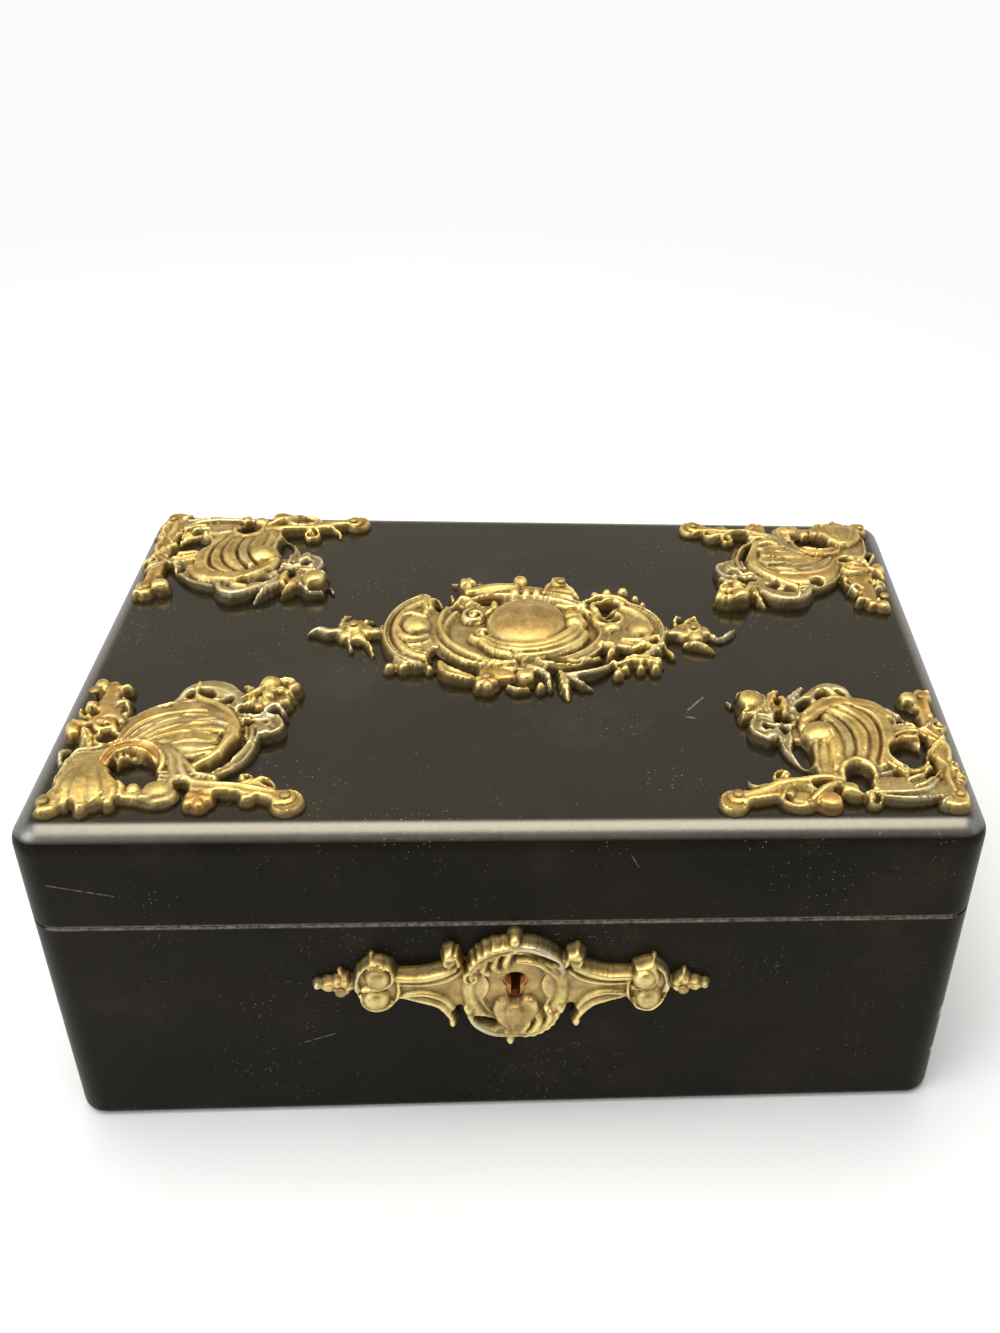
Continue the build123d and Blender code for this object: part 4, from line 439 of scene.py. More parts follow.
# Keyhole mount, measured from its own middle: x to the right, y up
ESCUTCHEON = [
    Dome(0, -0.2, 13, 15.6, 0, 1, "flat", "tan"),
    Loop(0, 0, 12.8, 15.8, 0, 360, 3.6, 3.2),
    Loop(0, -0.4, 9.9, 12.2, 120, 300, 1.2, 2.2, "round", "dull"),
    Strand([(0.4, 17.6, 3.2, 4.2), (4.6, 17.2, 3.8, 4.4), (9.6, 14.2, 3.8, 4.4), (12.6, 9.4, 3.2, 4.2),
        (12.4, 5.4, 2, 3.6)], "round", "pale"),
    Strand([(0.6, 11.6, 1.4, 3.2), (5.4, 10.8, 1.6, 3.4), (9, 8, 1.6, 3.4), (11.4, 4.6, 1.6, 3.2)]),
    Strand([(-0.4, 17.2, 4.2, 4.6), (-5.4, 16.2, 5.6, 5.2), (-10.2, 12, 5.2, 5), (-12.8, 6.4, 2.6, 4)],
        "leaf"),
    Strand([(-1.4, 16, 2, 4.6), (-2.6, 12, 2.6, 4.6), (-2.2, 8.8, 1.6, 3.6)]),
    Strand([(-4.8, 14.8, 2, 4.8), (-5.6, 11, 2.6, 4.8), (-4.4, 8.4, 1.6, 3.8)]),
    Strand([(-7.6, 13.2, 2, 4.8), (-8.6, 9.6, 2.4, 4.6), (-7.2, 7.2, 1.6, 3.8)]),
    Curl(-11.6, 6.2, 2.2, 100, 1.2, 1.5, 4.2),
    Strand([(-13.6, -7.4, 2, 3.4), (-11.4, -12.4, 3, 4), (-6.6, -16.2, 3.4, 4.2), (-0.6, -17.4, 3, 4)],
        "round", "pale"),
    Strand([(-9.4, -9.6, 1.3, 3), (-5.6, -12.4, 1.4, 3), (-2.2, -14.6, 1.4, 3)]),
    Strand([(-2, -16.2, 3.4, 4.4), (4.2, -16.2, 4.6, 4.8), (9.4, -12.6, 4.4, 4.8), (12.4, -8, 2.4, 4)],
        "leaf"),
    Strand([(1.8, -15.4, 2, 4.6), (3.4, -12.2, 2.4, 4.6), (3, -9.8, 1.5, 3.8)]),
    Strand([(5, -14.8, 2, 4.8), (6.6, -11.4, 2.6, 4.8), (5.8, -9.2, 1.5, 3.8)]),
    Strand([(8.6, -12.4, 2, 4.8), (9.6, -9.6, 2.4, 4.6), (8.6, -7.8, 1.5, 3.8)]),
    Fan([(-2.6, -4.8, 2.2), (-5.4, -7, 3), (-4.8, -11, 3.8), (-1.6, -15.2, 3.6)], [(2.2, -4.8, 2.2),
        (5.6, -7, 3), (4.6, -11, 3.8), (0.8, -15.2, 3.6)], 3, "tan"),
    Dome(-0.2, -10.2, 3.4, 4.6, 0, 4.4, "ball", "tan"),
    Dome(-12.8, -7, 1.7, 2.1, 0, 4.2),
    Dome(12.6, -7.2, 1.7, 2.1, 0, 4.2),
    Strand([(-29, 1.6, 9, 2.2), (-22, 1.6, 9.6, 2.2), (-15.5, 1, 16, 2.2)], "flat", "tan"),
    Strand([(29, 1.2, 9, 2.2), (22, 1.2, 9.6, 2.2), (15.5, 1, 16, 2.2)], "flat", "tan"),
    Strand([(-31, 6, 3.2, 4), (-25, 6.2, 3.4, 4.2), (-20, 7.6, 3.6, 4.2), (-16, 10, 3, 4.2)]),
    Strand([(-31, 3.4, 1.8, 3.2), (-24, 3.4, 1.8, 3.4), (-18.4, 4.8, 1.8, 3.4), (-14.6, 7.6, 1.6, 3.2)]),
    Strand([(-30.6, -1.4, 1.8, 3.2), (-24.6, -0.4, 2, 3.6), (-19.8, -2.6, 2, 3.6), (-16.8, -7, 1.8, 3.4)]),
    Strand([(-31, -2.2, 1.6, 3), (-25.4, -2.8, 2.8, 3.9), (-20.6, -5, 3, 4), (-17.6, -9.6, 3, 4.1),
        (-17.2, -12.4, 1.8, 3.6)]),
    Strand([(31, 5.4, 3.2, 4), (25, 5.8, 3.4, 4.2), (20, 7.4, 3.6, 4.2), (16, 10, 3, 4.2)]),
    Strand([(31, 2.6, 1.8, 3.2), (24, 2.8, 1.8, 3.4), (18.4, 4.4, 1.8, 3.4), (14.6, 7.4, 1.6, 3.2)]),
    Strand([(30.6, -2, 1.8, 3.2), (24.6, -1, 2, 3.6), (19.8, -3.2, 2, 3.6), (16.8, -7.4, 1.8, 3.4)]),
    Strand([(31, -3, 1.6, 3), (25.4, -3.4, 2.8, 3.9), (20.6, -5.6, 3, 4), (17.4, -10, 3, 4.1),
        (16.8, -12.8, 1.8, 3.6)]),
    Dome(-17.2, -12, 1.7, 2.3, 0, 4.2),
    Dome(16.8, -12.4, 1.9, 2.3, 0, 4.2),
    Dome(-17.6, 13.4, 2.4, 3.8, -6, 4.8, "leaf"),
    Strand([(-15.4, 15, 1.8, 4.2), (-14.6, 11, 2, 4.2)]),
    Dome(16.6, 12.6, 2.6, 3.9, 6, 4.8, "leaf"),
    Strand([(14.4, 14.4, 1.8, 4.2), (13.8, 10.6, 2, 4.2)]),
    Dome(-36.8, 2.6, 6.4, 10.2, 0, 3),
    Loop(-36.8, 2.6, 5.6, 9.2, 0, 360, 1.4, 3.7),
    Dome(-36.4, 7.2, 3.3, 3.5, 10, 6.2),
    Dome(-37.4, -1.2, 3.5, 3.6, 0, 6.2),
    Strand([(-38.4, 10.6, 1.4, 4.2), (-33.2, 10.4, 1.6, 4.4), (-32.8, 5.6, 1.6, 4.4),
        (-36, 3.2, 1.5, 4.6), (-40.6, 2.4, 1.4, 4.4)]),
    Strand([(-41.2, -0.6, 1.4, 4.2), (-41, -4.2, 1.6, 4.2), (-37.2, -5.6, 1.7, 4.2),
        (-33.4, -3.6, 1.5, 4)]),
    Strand([(-38.4, 11, 2.4, 3.4), (-38, 13.4, 1.4, 3)], "leaf"),
    Strand([(-41.6, 8.6, 1.6, 3.8), (-42.4, 4.6, 1.8, 3.8), (-41.4, 1.6, 1.4, 3.6)], "round", "pale"),
    Dome(36.2, 0.8, 6.3, 10, 0, 3),
    Loop(36.2, 0.8, 5.5, 9, 0, 360, 1.4, 3.7),
    Dome(35, 5.4, 3.3, 3.5, -10, 6.2),
    Dome(36.2, -2.4, 3.5, 3.6, 0, 6.2),
    Strand([(32.4, 8.8, 1.4, 4.2), (36.8, 9, 1.6, 4.4), (38.4, 4.6, 1.6, 4.4), (36, 1.6, 1.5, 4.6),
        (32, 1.8, 1.4, 4.4)]),
    Strand([(32.6, -3, 1.4, 4.2), (33.4, -6.2, 1.6, 4.2), (37.4, -7.2, 1.7, 4.2), (40.4, -4.2, 1.5, 4)]),
    Strand([(37.2, 9, 2.4, 3.4), (37.6, 11.4, 1.4, 3)], "leaf"),
    Strand([(40.8, 6.4, 1.6, 3.8), (41.4, 2.6, 1.8, 3.8), (40.6, -0.6, 1.4, 3.6)], "round", "pale"),
    Dome(-46, 2.4, 3.5, 3.8, 0, 3.4, "rosette", "tan"),
    Strand([(-45.4, 5.2, 2.2, 3.4), (-46.8, 7.2, 1.4, 3)], "leaf", "tan"),
    Dome(-50, 2.4, 2.2, 2.3, 0, 3.2, "ball", "tan"),
    Dome(-52.9, 2.4, 1.5, 1.5, 0, 3, "ball", "pale"),
    Dome(45.8, 0.8, 3.5, 3.8, 0, 3.4, "rosette"),
    Strand([(45, 3.4, 2.2, 3.4), (46.2, 5.4, 1.4, 3)], "leaf"),
    Dome(49.4, 0.4, 2.1, 2.3, 0, 3.2),
    Dome(52.2, 0.2, 1.5, 1.5, 0, 3, "ball", "pale"),
    Strand([(0, 16.6, 3.2, 4), (0, 19, 2.4, 4)]),
    Dome(0, 20, 2.2, 2.3, 0, 4.6),
    Strand([(-1, -17, 2.6, 3.2), (-1.4, -19.4, 2, 3)]),
    Dome(-1.5, -20.6, 1.8, 2, 0, 3.6),
    Hole(6.6, 13.2, 5, 0.9, -26),
    Hole(-7.6, -12.4, 3.4, 0.7, -28),
    Hole(0, 2, 3.4, 3.4, 0),
    Hole(0, -1.4, 2.5, 3.8, 0),
]


# The relief of the mounts: a fine grid of heights, built up form by form and cut to the outline
SAMPLE_SPACING = 0.3
FAR_OUTSIDE = 9.0
LOBE_LENGTH = 2.3
CAVITY_REACH = 1.3
FILLET = 0.45
SOFT_VALLEY = 0.15
EDGE_HEIGHT = 0.8
EDGE_ROLL = 1.2
CASTING_FILL = 0.7
LEAST_HEIGHT = 0.4
FAN_SAMPLES = 60
LOOP_SAMPLES = 37
CURL_SAMPLES = 25
CURL_TIGHTENING = 0.72
BEAD_SHARE = 0.34
PROUD_RANGE = 2.2


def smooth_path(rows):
    """Closely spaced rows on a smooth curve through the rows given."""
    rows = np.array(rows, float)
    held = np.vstack([2 * rows[0] - rows[1], rows, 2 * rows[-1] - rows[-2]])
    stretches = []
    for before, start, end, after in zip(held, held[1:], held[2:], held[3:]):
        count = max(2, int(np.hypot(*(end - start)[:2]) / SAMPLE_SPACING))
        t = np.linspace(0, 1, count, endpoint=False)[:, None]
        square_term = 2 * before - 5 * start + 4 * end - after
        cube_term = 3 * start - before - 3 * end + after
        stretches.append(start + 0.5 * ((end - before) * t + square_term * t ** 2 + cube_term * t ** 3))
    stretches.append(rows[-1:])
    return np.vstack(stretches)


def box_blur(field, reach):
    """Mean of a field over a square that reaches so many steps each way."""
    for axis in (0, 1):
        padding = [(0, 0), (0, 0)]
        padding[axis] = (reach + 1, reach)
        total = np.cumsum(np.pad(field, padding), axis=axis)
        width = 2 * reach + 1
        ahead = np.take(total, range(width, total.shape[axis]), axis=axis)
        behind = np.take(total, range(total.shape[axis] - width), axis=axis)
        field = (ahead - behind) / width
    return field


def cross_section(look, across, along):
    """Share of the full rise at a place across a form, from 0 on its crest to 1 at its edge."""
    across = np.clip(across, 0, 1)
    if look == "flat":
        return 1 - 0.12 * across ** 6
    if look == "smooth":
        return 0.5 + 0.5 * np.sqrt(1 - across ** 2.2)
    if look == "ball":
        return 0.54 + 0.46 * np.sqrt(1 - across ** 2)
    if look == "rib":
        return 0.8 + 0.2 * np.sqrt(1 - across ** 3)
    if look == "rimmed":
        channel = 0.26 * np.clip(1 - (across / 0.66) ** 2.6, 0, 1)
        return 0.6 + 0.4 * np.sqrt(1 - across ** 6) - channel
    if look == "reeded":
        groove = 0.2 * np.exp(-((across - 0.4) / 0.13) ** 2)
        return 0.62 + 0.38 * np.sqrt(1 - across ** 4) - groove
    if look == "leaf":
        vein = 0.15 * np.exp(-(across / 0.17) ** 2)
        notch = 0.12 * across * (0.5 - 0.5 * np.cos(2 * pi * along / LOBE_LENGTH))
        return 0.56 + 0.44 * (1 - across ** 2) ** 0.8 - vein - notch
    rim_line = 0.07 * np.exp(-((across - 0.68) / 0.09) ** 2)
    return 0.62 + 0.38 * np.sqrt(1 - across ** 2.5) - rim_line


class Relief:
    """A sheet of carved metal: heights over a grid, in millimetres, and signed distance to its outline."""

    def __init__(self, forms, low, high, step):
        self.step = step
        self.x_line = np.arange(low[0], high[0] + step, step)
        self.y_line = np.arange(low[1], high[1] + step, step)
        self.x, self.y = np.meshgrid(self.x_line, self.y_line, indexing="ij")
        self.height = np.zeros_like(self.x)
        self.outline = np.full_like(self.x, FAR_OUTSIDE)
        self.pale = np.zeros_like(self.x)
        self.copper = np.zeros_like(self.x)
        for form in forms:
            getattr(self, "add_" + type(form).__name__.lower())(form)
        self.settle()

    def settle(self):
        """Fills the valleys as a casting does, and rolls the metal down to a thin edge."""
        inside = (self.outline < 0).astype(float)
        reach = int(CAVITY_REACH / self.step)
        mean = box_blur(self.height * inside, reach) / np.maximum(box_blur(inside, reach), 0.05)
        self.height = np.maximum(self.height, CASTING_FILL * mean)
        depth = np.zeros_like(self.height)
        shrinking = inside
        for turn in range(int(EDGE_ROLL / self.step) + 1):
            sides = [np.roll(shrinking, move, axis) for move in (-1, 1) for axis in (0, 1)]
            smaller = np.minimum(shrinking, np.min(sides, axis=0))
            if turn % 2:
                corners = [np.roll(side, move, 1) for side in sides[:3:2] for move in (-1, 1)]
                smaller = np.minimum(smaller, np.min(corners, axis=0))
            shrinking = smaller
            depth += self.step * shrinking
        from_rim = 1 - np.clip(box_blur(depth, 1) / EDGE_ROLL, 0, 1)
        self.height = 0.75 * self.height + 0.25 * box_blur(self.height, 1)
        self.height = EDGE_HEIGHT + np.maximum(self.height - EDGE_HEIGHT, 0) * (1 - from_rim ** 2) ** 0.9

    def window(self, low, high):
        """The part of the grid between two corners, with a little room around it."""
        room = 3 * self.step + FILLET
        first = np.searchsorted(self.x_line, low[0] - room), np.searchsorted(self.y_line, low[1] - room)
        last = np.searchsorted(self.x_line, high[0] + room), np.searchsorted(self.y_line, high[1] + room)
        return np.s_[first[0]:last[0], first[1]:last[1]]

    def lay(self, part, distance, height, tone):
        """Puts a form on the sheet wherever it stands higher than what is there."""
        touched = distance < 1.5 * self.step
        higher = touched & (height > self.height[part])
        pale, copper = TONES[tone]
        self.pale[part][higher] = pale
        self.copper[part][higher] = copper
        there = self.height[part]
        share = np.clip(0.5 + 0.5 * (height - there) / SOFT_VALLEY, 0, 1)
        joined = there + (height - there) * share + SOFT_VALLEY * share * (1 - share)
        self.height[part] = np.where(touched, joined, there)
        outline = self.outline[part]
        share = np.clip(0.5 + 0.5 * (outline - distance) / FILLET, 0, 1)
        self.outline[part] = outline + (distance - outline) * share - FILLET * share * (1 - share)

    def nearest(self, samples, part):
        """Distance of each grid point in a window to a sampled line, and the row of its nearest sample."""
        away = (self.x[part][..., None] - samples[:, 0]) ** 2 + (self.y[part][..., None] - samples[:, 1]) ** 2
        row = np.argmin(away, axis=-1)
        return np.sqrt(np.take_along_axis(away, row[..., None], axis=-1)[..., 0]), row

    def add_strand(self, form):
        samples = smooth_path(form.path)
        half_width = np.maximum(samples[:, 2] / 2, 0.25)
        along = np.concatenate([[0], np.cumsum(np.hypot(*np.diff(samples[:, :2], axis=0).T))])
        if form.look == "leaf":
            half_width = half_width * (1.04 - 0.16 * (0.5 - 0.5 * np.cos(2 * pi * along / LOBE_LENGTH)))
        reach = half_width.max()
        part = self.window(samples[:, :2].min(0) - reach, samples[:, :2].max(0) + reach)
        away, row = self.nearest(samples, part)
        width_here = half_width[row]
        share = cross_section(form.look, away / width_here, along[row])
        self.lay(part, away - width_here, samples[row, 3] * share, form.tone)

    def add_fan(self, form):
        outer = smooth_path(form.outer)
        inner = smooth_path(form.inner)
        t = np.linspace(0, 1, FAN_SAMPLES)
        outer = np.stack([np.interp(t, np.linspace(0, 1, len(outer)), column) for column in outer.T], axis=1)
        inner = np.stack([np.interp(t, np.linspace(0, 1, len(inner)), column) for column in inner.T], axis=1)
        spread = np.hypot(*(outer - inner)[:, :2].T)
        shares = 1 + 0.3 * np.sin(2.4 * np.arange(form.ribs) + 1)
        ends = np.concatenate([[0], np.cumsum(shares / shares.sum())])
        for start, end in zip(ends, ends[1:]):
            middle = (start + end) / 2
            line = inner + (outer - inner) * middle
            swell = 1 + 0.12 * (1 - (2 * middle - 1) ** 2)
            rows = np.column_stack([line[:, :2], spread * (end - start) * 1.1, line[:, 2] * swell])
            self.add_strand(Strand(rows[::4], "rib", form.tone))

    def turned_grid(self, form):
        """The window round an oval form, and its grid points measured along the form's own two axes."""
        reach = max(form.long, form.short)
        part = self.window((form.x - reach, form.y - reach), (form.x + reach, form.y + reach))
        turn = radians(form.turn)
        right = (self.x[part] - form.x) * cos(turn) + (self.y[part] - form.y) * sin(turn)
        up = (self.y[part] - form.y) * cos(turn) - (self.x[part] - form.x) * sin(turn)
        return part, right, up

    def add_dome(self, form):
        part, right, up = self.turned_grid(form)
        across = np.hypot(right / form.long, up / form.short)
        angle = np.arctan2(up, right)
        look = form.look
        height = form.rise
        if look == "rosette":
            petals = np.abs(np.cos(2.5 * angle))
            across = across * (1.16 - 0.18 * petals)
            height = height * (1 - 0.26 * (1 - petals) ** 2 * np.clip(across, 0, 1))
            look = "ball"
        if look == "leaf":
            across = across * (1.03 + 0.05 * np.cos(7 * angle))
            height = height * (1 - 0.12 * np.exp(-(up / (0.16 * form.short)) ** 2))
            look = "ball"
        distance = (across - 1) * min(form.long, form.short)
        self.lay(part, distance, height * cross_section(look, across, angle), form.tone)

    def add_loop(self, form):
        turns = np.radians(form.start + form.sweep * np.linspace(0, 1, LOOP_SAMPLES))
        rows = [
            (form.x + form.long * cos(a), form.y + form.short * sin(a), form.width, form.rise) for a in turns
        ]
        self.add_strand(Strand(rows, form.look, form.tone))

    def add_curl(self, form):
        rows = []
        for share in np.linspace(0, 1, CURL_SAMPLES):
            angle = radians(form.start) + 2 * pi * form.turns * share
            radius = form.radius * (1 - CURL_TIGHTENING * share)
            x = form.x + radius * cos(angle)
            y = form.y + radius * sin(angle)
            rows.append((x, y, form.width * (1 - 0.3 * share), form.rise))
        self.add_strand(Strand(rows, "round", form.tone))
        bead = BEAD_SHARE * form.radius
        self.add_dome(Dome(form.x, form.y, bead, bead, 0, form.rise * 1.12, "ball", form.tone))

    def add_line(self, form):
        """A thin raised line, or a groove where its rise is below 0."""
        samples = smooth_path([(x, y, form.width, form.rise) for x, y in form.path])
        part = self.window(samples[:, :2].min(0) - form.width, samples[:, :2].max(0) + form.width)
        away = self.nearest(samples, part)[0]
        self.height[part] += form.rise * np.exp(-(away / form.width) ** 2)
        self.height[part] = np.maximum(self.height[part], LEAST_HEIGHT)

    def add_hole(self, form):
        part, right, up = self.turned_grid(form)
        inside = (1 - np.hypot(right / form.long, up / form.short)) * min(form.long, form.short)
        self.outline[part] = np.maximum(self.outline[part], inside)

    def mesh(self, name, place, mirrored):
        """The sheet as a closed mesh, set in place. Its points say how proud, pale and coppery they are."""
        slope_x, slope_y = np.gradient(self.outline, self.step)
        steepness = np.maximum(np.hypot(slope_x, slope_y), 0.5)
        onto_edge = np.clip(self.outline, 0, 1.2 * self.step) / steepness ** 2
        x = self.x - onto_edge * slope_x
        y = self.y - onto_edge * slope_y
        inside = self.outline < 0
        solid = inside.astype(float)
        reach = int(CAVITY_REACH / self.step)
        local_mean = box_blur(self.height * solid, reach) / np.maximum(box_blur(solid, reach), 0.05)
        # How far each point stands above the metal round it. The gilding paints shade in the hollows and a
        # highlight on the proud parts from this.
        proud = np.clip(0.5 + (self.height - local_mean) / PROUD_RANGE, 0, 1)

        number = np.arange(self.x.size).reshape(self.x.shape)
        corners = [number[:-1, :-1], number[1:, :-1], number[1:, 1:], number[:-1, 1:]]
        a, b, c, d = [corner.ravel() for corner in corners]
        triangles = np.vstack([np.column_stack([a, b, c]), np.column_stack([a, c, d])])
        triangles = triangles[inside.ravel()[triangles].any(axis=1)]
        used, triangles = np.unique(triangles, return_inverse=True)
        triangles = triangles.reshape(-1, 3)
        count = len(used)
        edges = np.vstack([triangles[:, [0, 1]], triangles[:, [1, 2]], triangles[:, [2, 0]]])
        code = edges[:, 0] * count + edges[:, 1]
        reverse = edges[:, 1] * count + edges[:, 0]
        rim = edges[~np.isin(code, reverse)]
        walls = np.vstack([
            np.column_stack([rim[:, 1], rim[:, 0], rim[:, 0] + count]),
            np.column_stack([rim[:, 1], rim[:, 0] + count, rim[:, 1] + count]),
        ])
        faces = np.vstack([triangles, triangles[:, ::-1] + count, walls])
        if mirrored:
            faces = faces[:, ::-1]
        flat = np.column_stack([x.ravel()[used], y.ravel()[used]])
        top = place(flat, self.height.ravel()[used])
        bottom = place(flat, np.zeros(count))
        made = bpy.data.meshes.new(name)
        made.from_pydata(np.vstack([top, bottom]).tolist(), [], faces.tolist())
        made.shade_smooth()
        made.set_sharp_from_angle(angle=radians(48))
        fields = {"proud": proud, "pale": box_blur(self.pale, 2), "copper": box_blur(self.copper, 3)}
        for label, field in fields.items():
            values = np.tile(field.ravel()[used], 2).astype(np.float32)
            made.attributes.new(label, "FLOAT", "POINT").data.foreach_set("value", values)
        return made


class Recipe:
    """Lays down the nodes of one material on Object coordinates."""

    def __init__(self, name):
        self.material = bpy.data.materials.new(name)
        self.material.use_nodes = True
        self.tree = self.material.node_tree
        self.tree.nodes.clear()
        self.output = self.node("ShaderNodeOutputMaterial")
        self.shader = self.node("ShaderNodeBsdfPrincipled")
        self.link(self.shader.outputs[0], self.output.inputs["Surface"])
        self.place = self.node("ShaderNodeTexCoord").outputs["Object"]

    def node(self, kind, **settings):
        made = self.tree.nodes.new(kind)
        for key, value in settings.items():
            setattr(made, key, value)
        return made

    def link(self, source, target):
        self.tree.links.new(source, target)

    def feed(self, source, target):
        """A link or a plain value into a socket."""
        if isinstance(source, bpy.types.NodeSocket):
            self.link(source, target)
        else:
            target.default_value = source

    def turned(self, scale=(1, 1, 1), turn=(0, 0, 0)):
        mapping = self.node("ShaderNodeMapping")
        mapping.inputs["Scale"].default_value = scale
        mapping.inputs["Rotation"].default_value = turn
        self.link(self.place, mapping.inputs["Vector"])
        return mapping.outputs[0]

    def noise(self, scale, detail=4.0, rough=0.55, place=None):
        made = self.node("ShaderNodeTexNoise")
        made.inputs["Scale"].default_value = scale
        made.inputs["Detail"].default_value = detail
        made.inputs["Roughness"].default_value = rough
        self.link(place or self.place, made.inputs["Vector"])
        return made.outputs["Fac"]

    def cells(self, scale):
        made = self.node("ShaderNodeTexVoronoi")
        made.inputs["Scale"].default_value = scale
        self.link(self.place, made.inputs["Vector"])
        return made.outputs["Distance"]

    def attribute(self, name):
        return self.node("ShaderNodeAttribute", attribute_name=name).outputs["Fac"]

    def sums(self, operation, first, second=0.0, clamp=False):
        made = self.node("ShaderNodeMath", operation=operation, use_clamp=clamp)
        self.feed(first, made.inputs[0])
        self.feed(second, made.inputs[1])
        return made.outputs[0]

    def spread(self, value, low, high, to_low=0.0, to_high=1.0):
        made = self.node("ShaderNodeMapRange", clamp=True)
        for source, target in zip((value, low, high, to_low, to_high), made.inputs):
            self.feed(source, target)
        return made.outputs[0]

    def ramp(self, value, *stops):
        made = self.node("ShaderNodeValToRGB")
        points = made.color_ramp.elements
        while len(points) < len(stops):
            points.new(0.5)
        for point, (place, colour) in zip(points, stops):
            point.position = place
            point.color = (*colour, 1)
        self.link(value, made.inputs[0])
        return made.outputs[0]

    def mix(self, share, first, second):
        made = self.node("ShaderNodeMix", data_type="RGBA")
        self.feed(share, made.inputs[0])
        for source, target in ((first, made.inputs[6]), (second, made.inputs[7])):
            self.feed(source if isinstance(source, bpy.types.NodeSocket) else (*source, 1), target)
        return made.outputs[2]

    def axes(self):
        split = self.node("ShaderNodeSeparateXYZ")
        self.link(self.place, split.inputs[0])
        return split.outputs

    def near(self, point, reach, ragged):
        """1 close to a point and 0 beyond its reach, with a ragged border."""
        made = self.node("ShaderNodeVectorMath", operation="DISTANCE")
        self.link(self.place, made.inputs[0])
        made.inputs[1].default_value = point
        distance = made.outputs["Value"]
        distance = self.sums("ADD", distance, self.spread(ragged, 0.3, 0.7, -0.5 * reach, 0.5 * reach))
        return self.spread(distance, reach, 0.6 * reach)

    def along(self, start, end, width, ragged):
        """1 on a thin broken line between two points and 0 off it."""
        offset = self.node("ShaderNodeVectorMath", operation="SUBTRACT")
        self.link(self.place, offset.inputs[0])
        offset.inputs[1].default_value = start
        line = Vector(end) - Vector(start)
        dot = self.node("ShaderNodeVectorMath", operation="DOT_PRODUCT")
        self.link(offset.outputs[0], dot.inputs[0])
        dot.inputs[1].default_value = line / line.length_squared
        share = self.spread(dot.outputs["Value"], 0, 1)
        foot = self.node("ShaderNodeVectorMath", operation="SCALE")
        foot.inputs[0].default_value = line
        self.link(share, foot.inputs["Scale"])
        distance = self.node("ShaderNodeVectorMath", operation="DISTANCE")
        self.link(offset.outputs[0], distance.inputs[0])
        self.link(foot.outputs[0], distance.inputs[1])
        on_line = self.spread(distance.outputs["Value"], width, 0.4 * width)
        return self.sums("MULTIPLY", on_line, self.spread(ragged, 0.4, 0.55))

    def finish(self, colour, rough, bumps, **plain):
        """Joins colour, roughness and bumps to the shader. A bump has its height, strength and depth."""
        self.feed(colour, self.shader.inputs["Base Color"])
        self.feed(rough, self.shader.inputs["Roughness"])
        normal = None
        for height, strength, depth in bumps:
            bump = self.node("ShaderNodeBump")
            bump.inputs["Strength"].default_value = strength
            bump.inputs["Distance"].default_value = depth
            self.link(height, bump.inputs["Height"])
            if normal:
                self.link(normal, bump.inputs["Normal"])
            normal = bump.outputs[0]
        if normal:
            self.link(normal, self.shader.inputs["Normal"])
        for name, value in plain.items():
            self.shader.inputs[name.replace("_", " ")].default_value = value
        return self.material


# Wear along the joint: how far up or down from it, and how far in from the outer faces, it is full and ends
WEAR_UP_FULL = 0.4 * MM
WEAR_UP_END = 1.0 * MM
WEAR_IN_FULL = 0.4 * MM
WEAR_IN_END = 0.9 * MM

# Bare wood under the keyhole
BARE_DROP = 3 * MM
BARE_REACH = 9 * MM

# Specular level of the lacquer on the sides of the case and on the lid
SIDE_POLISH = 0.028
LID_POLISH = 0.25


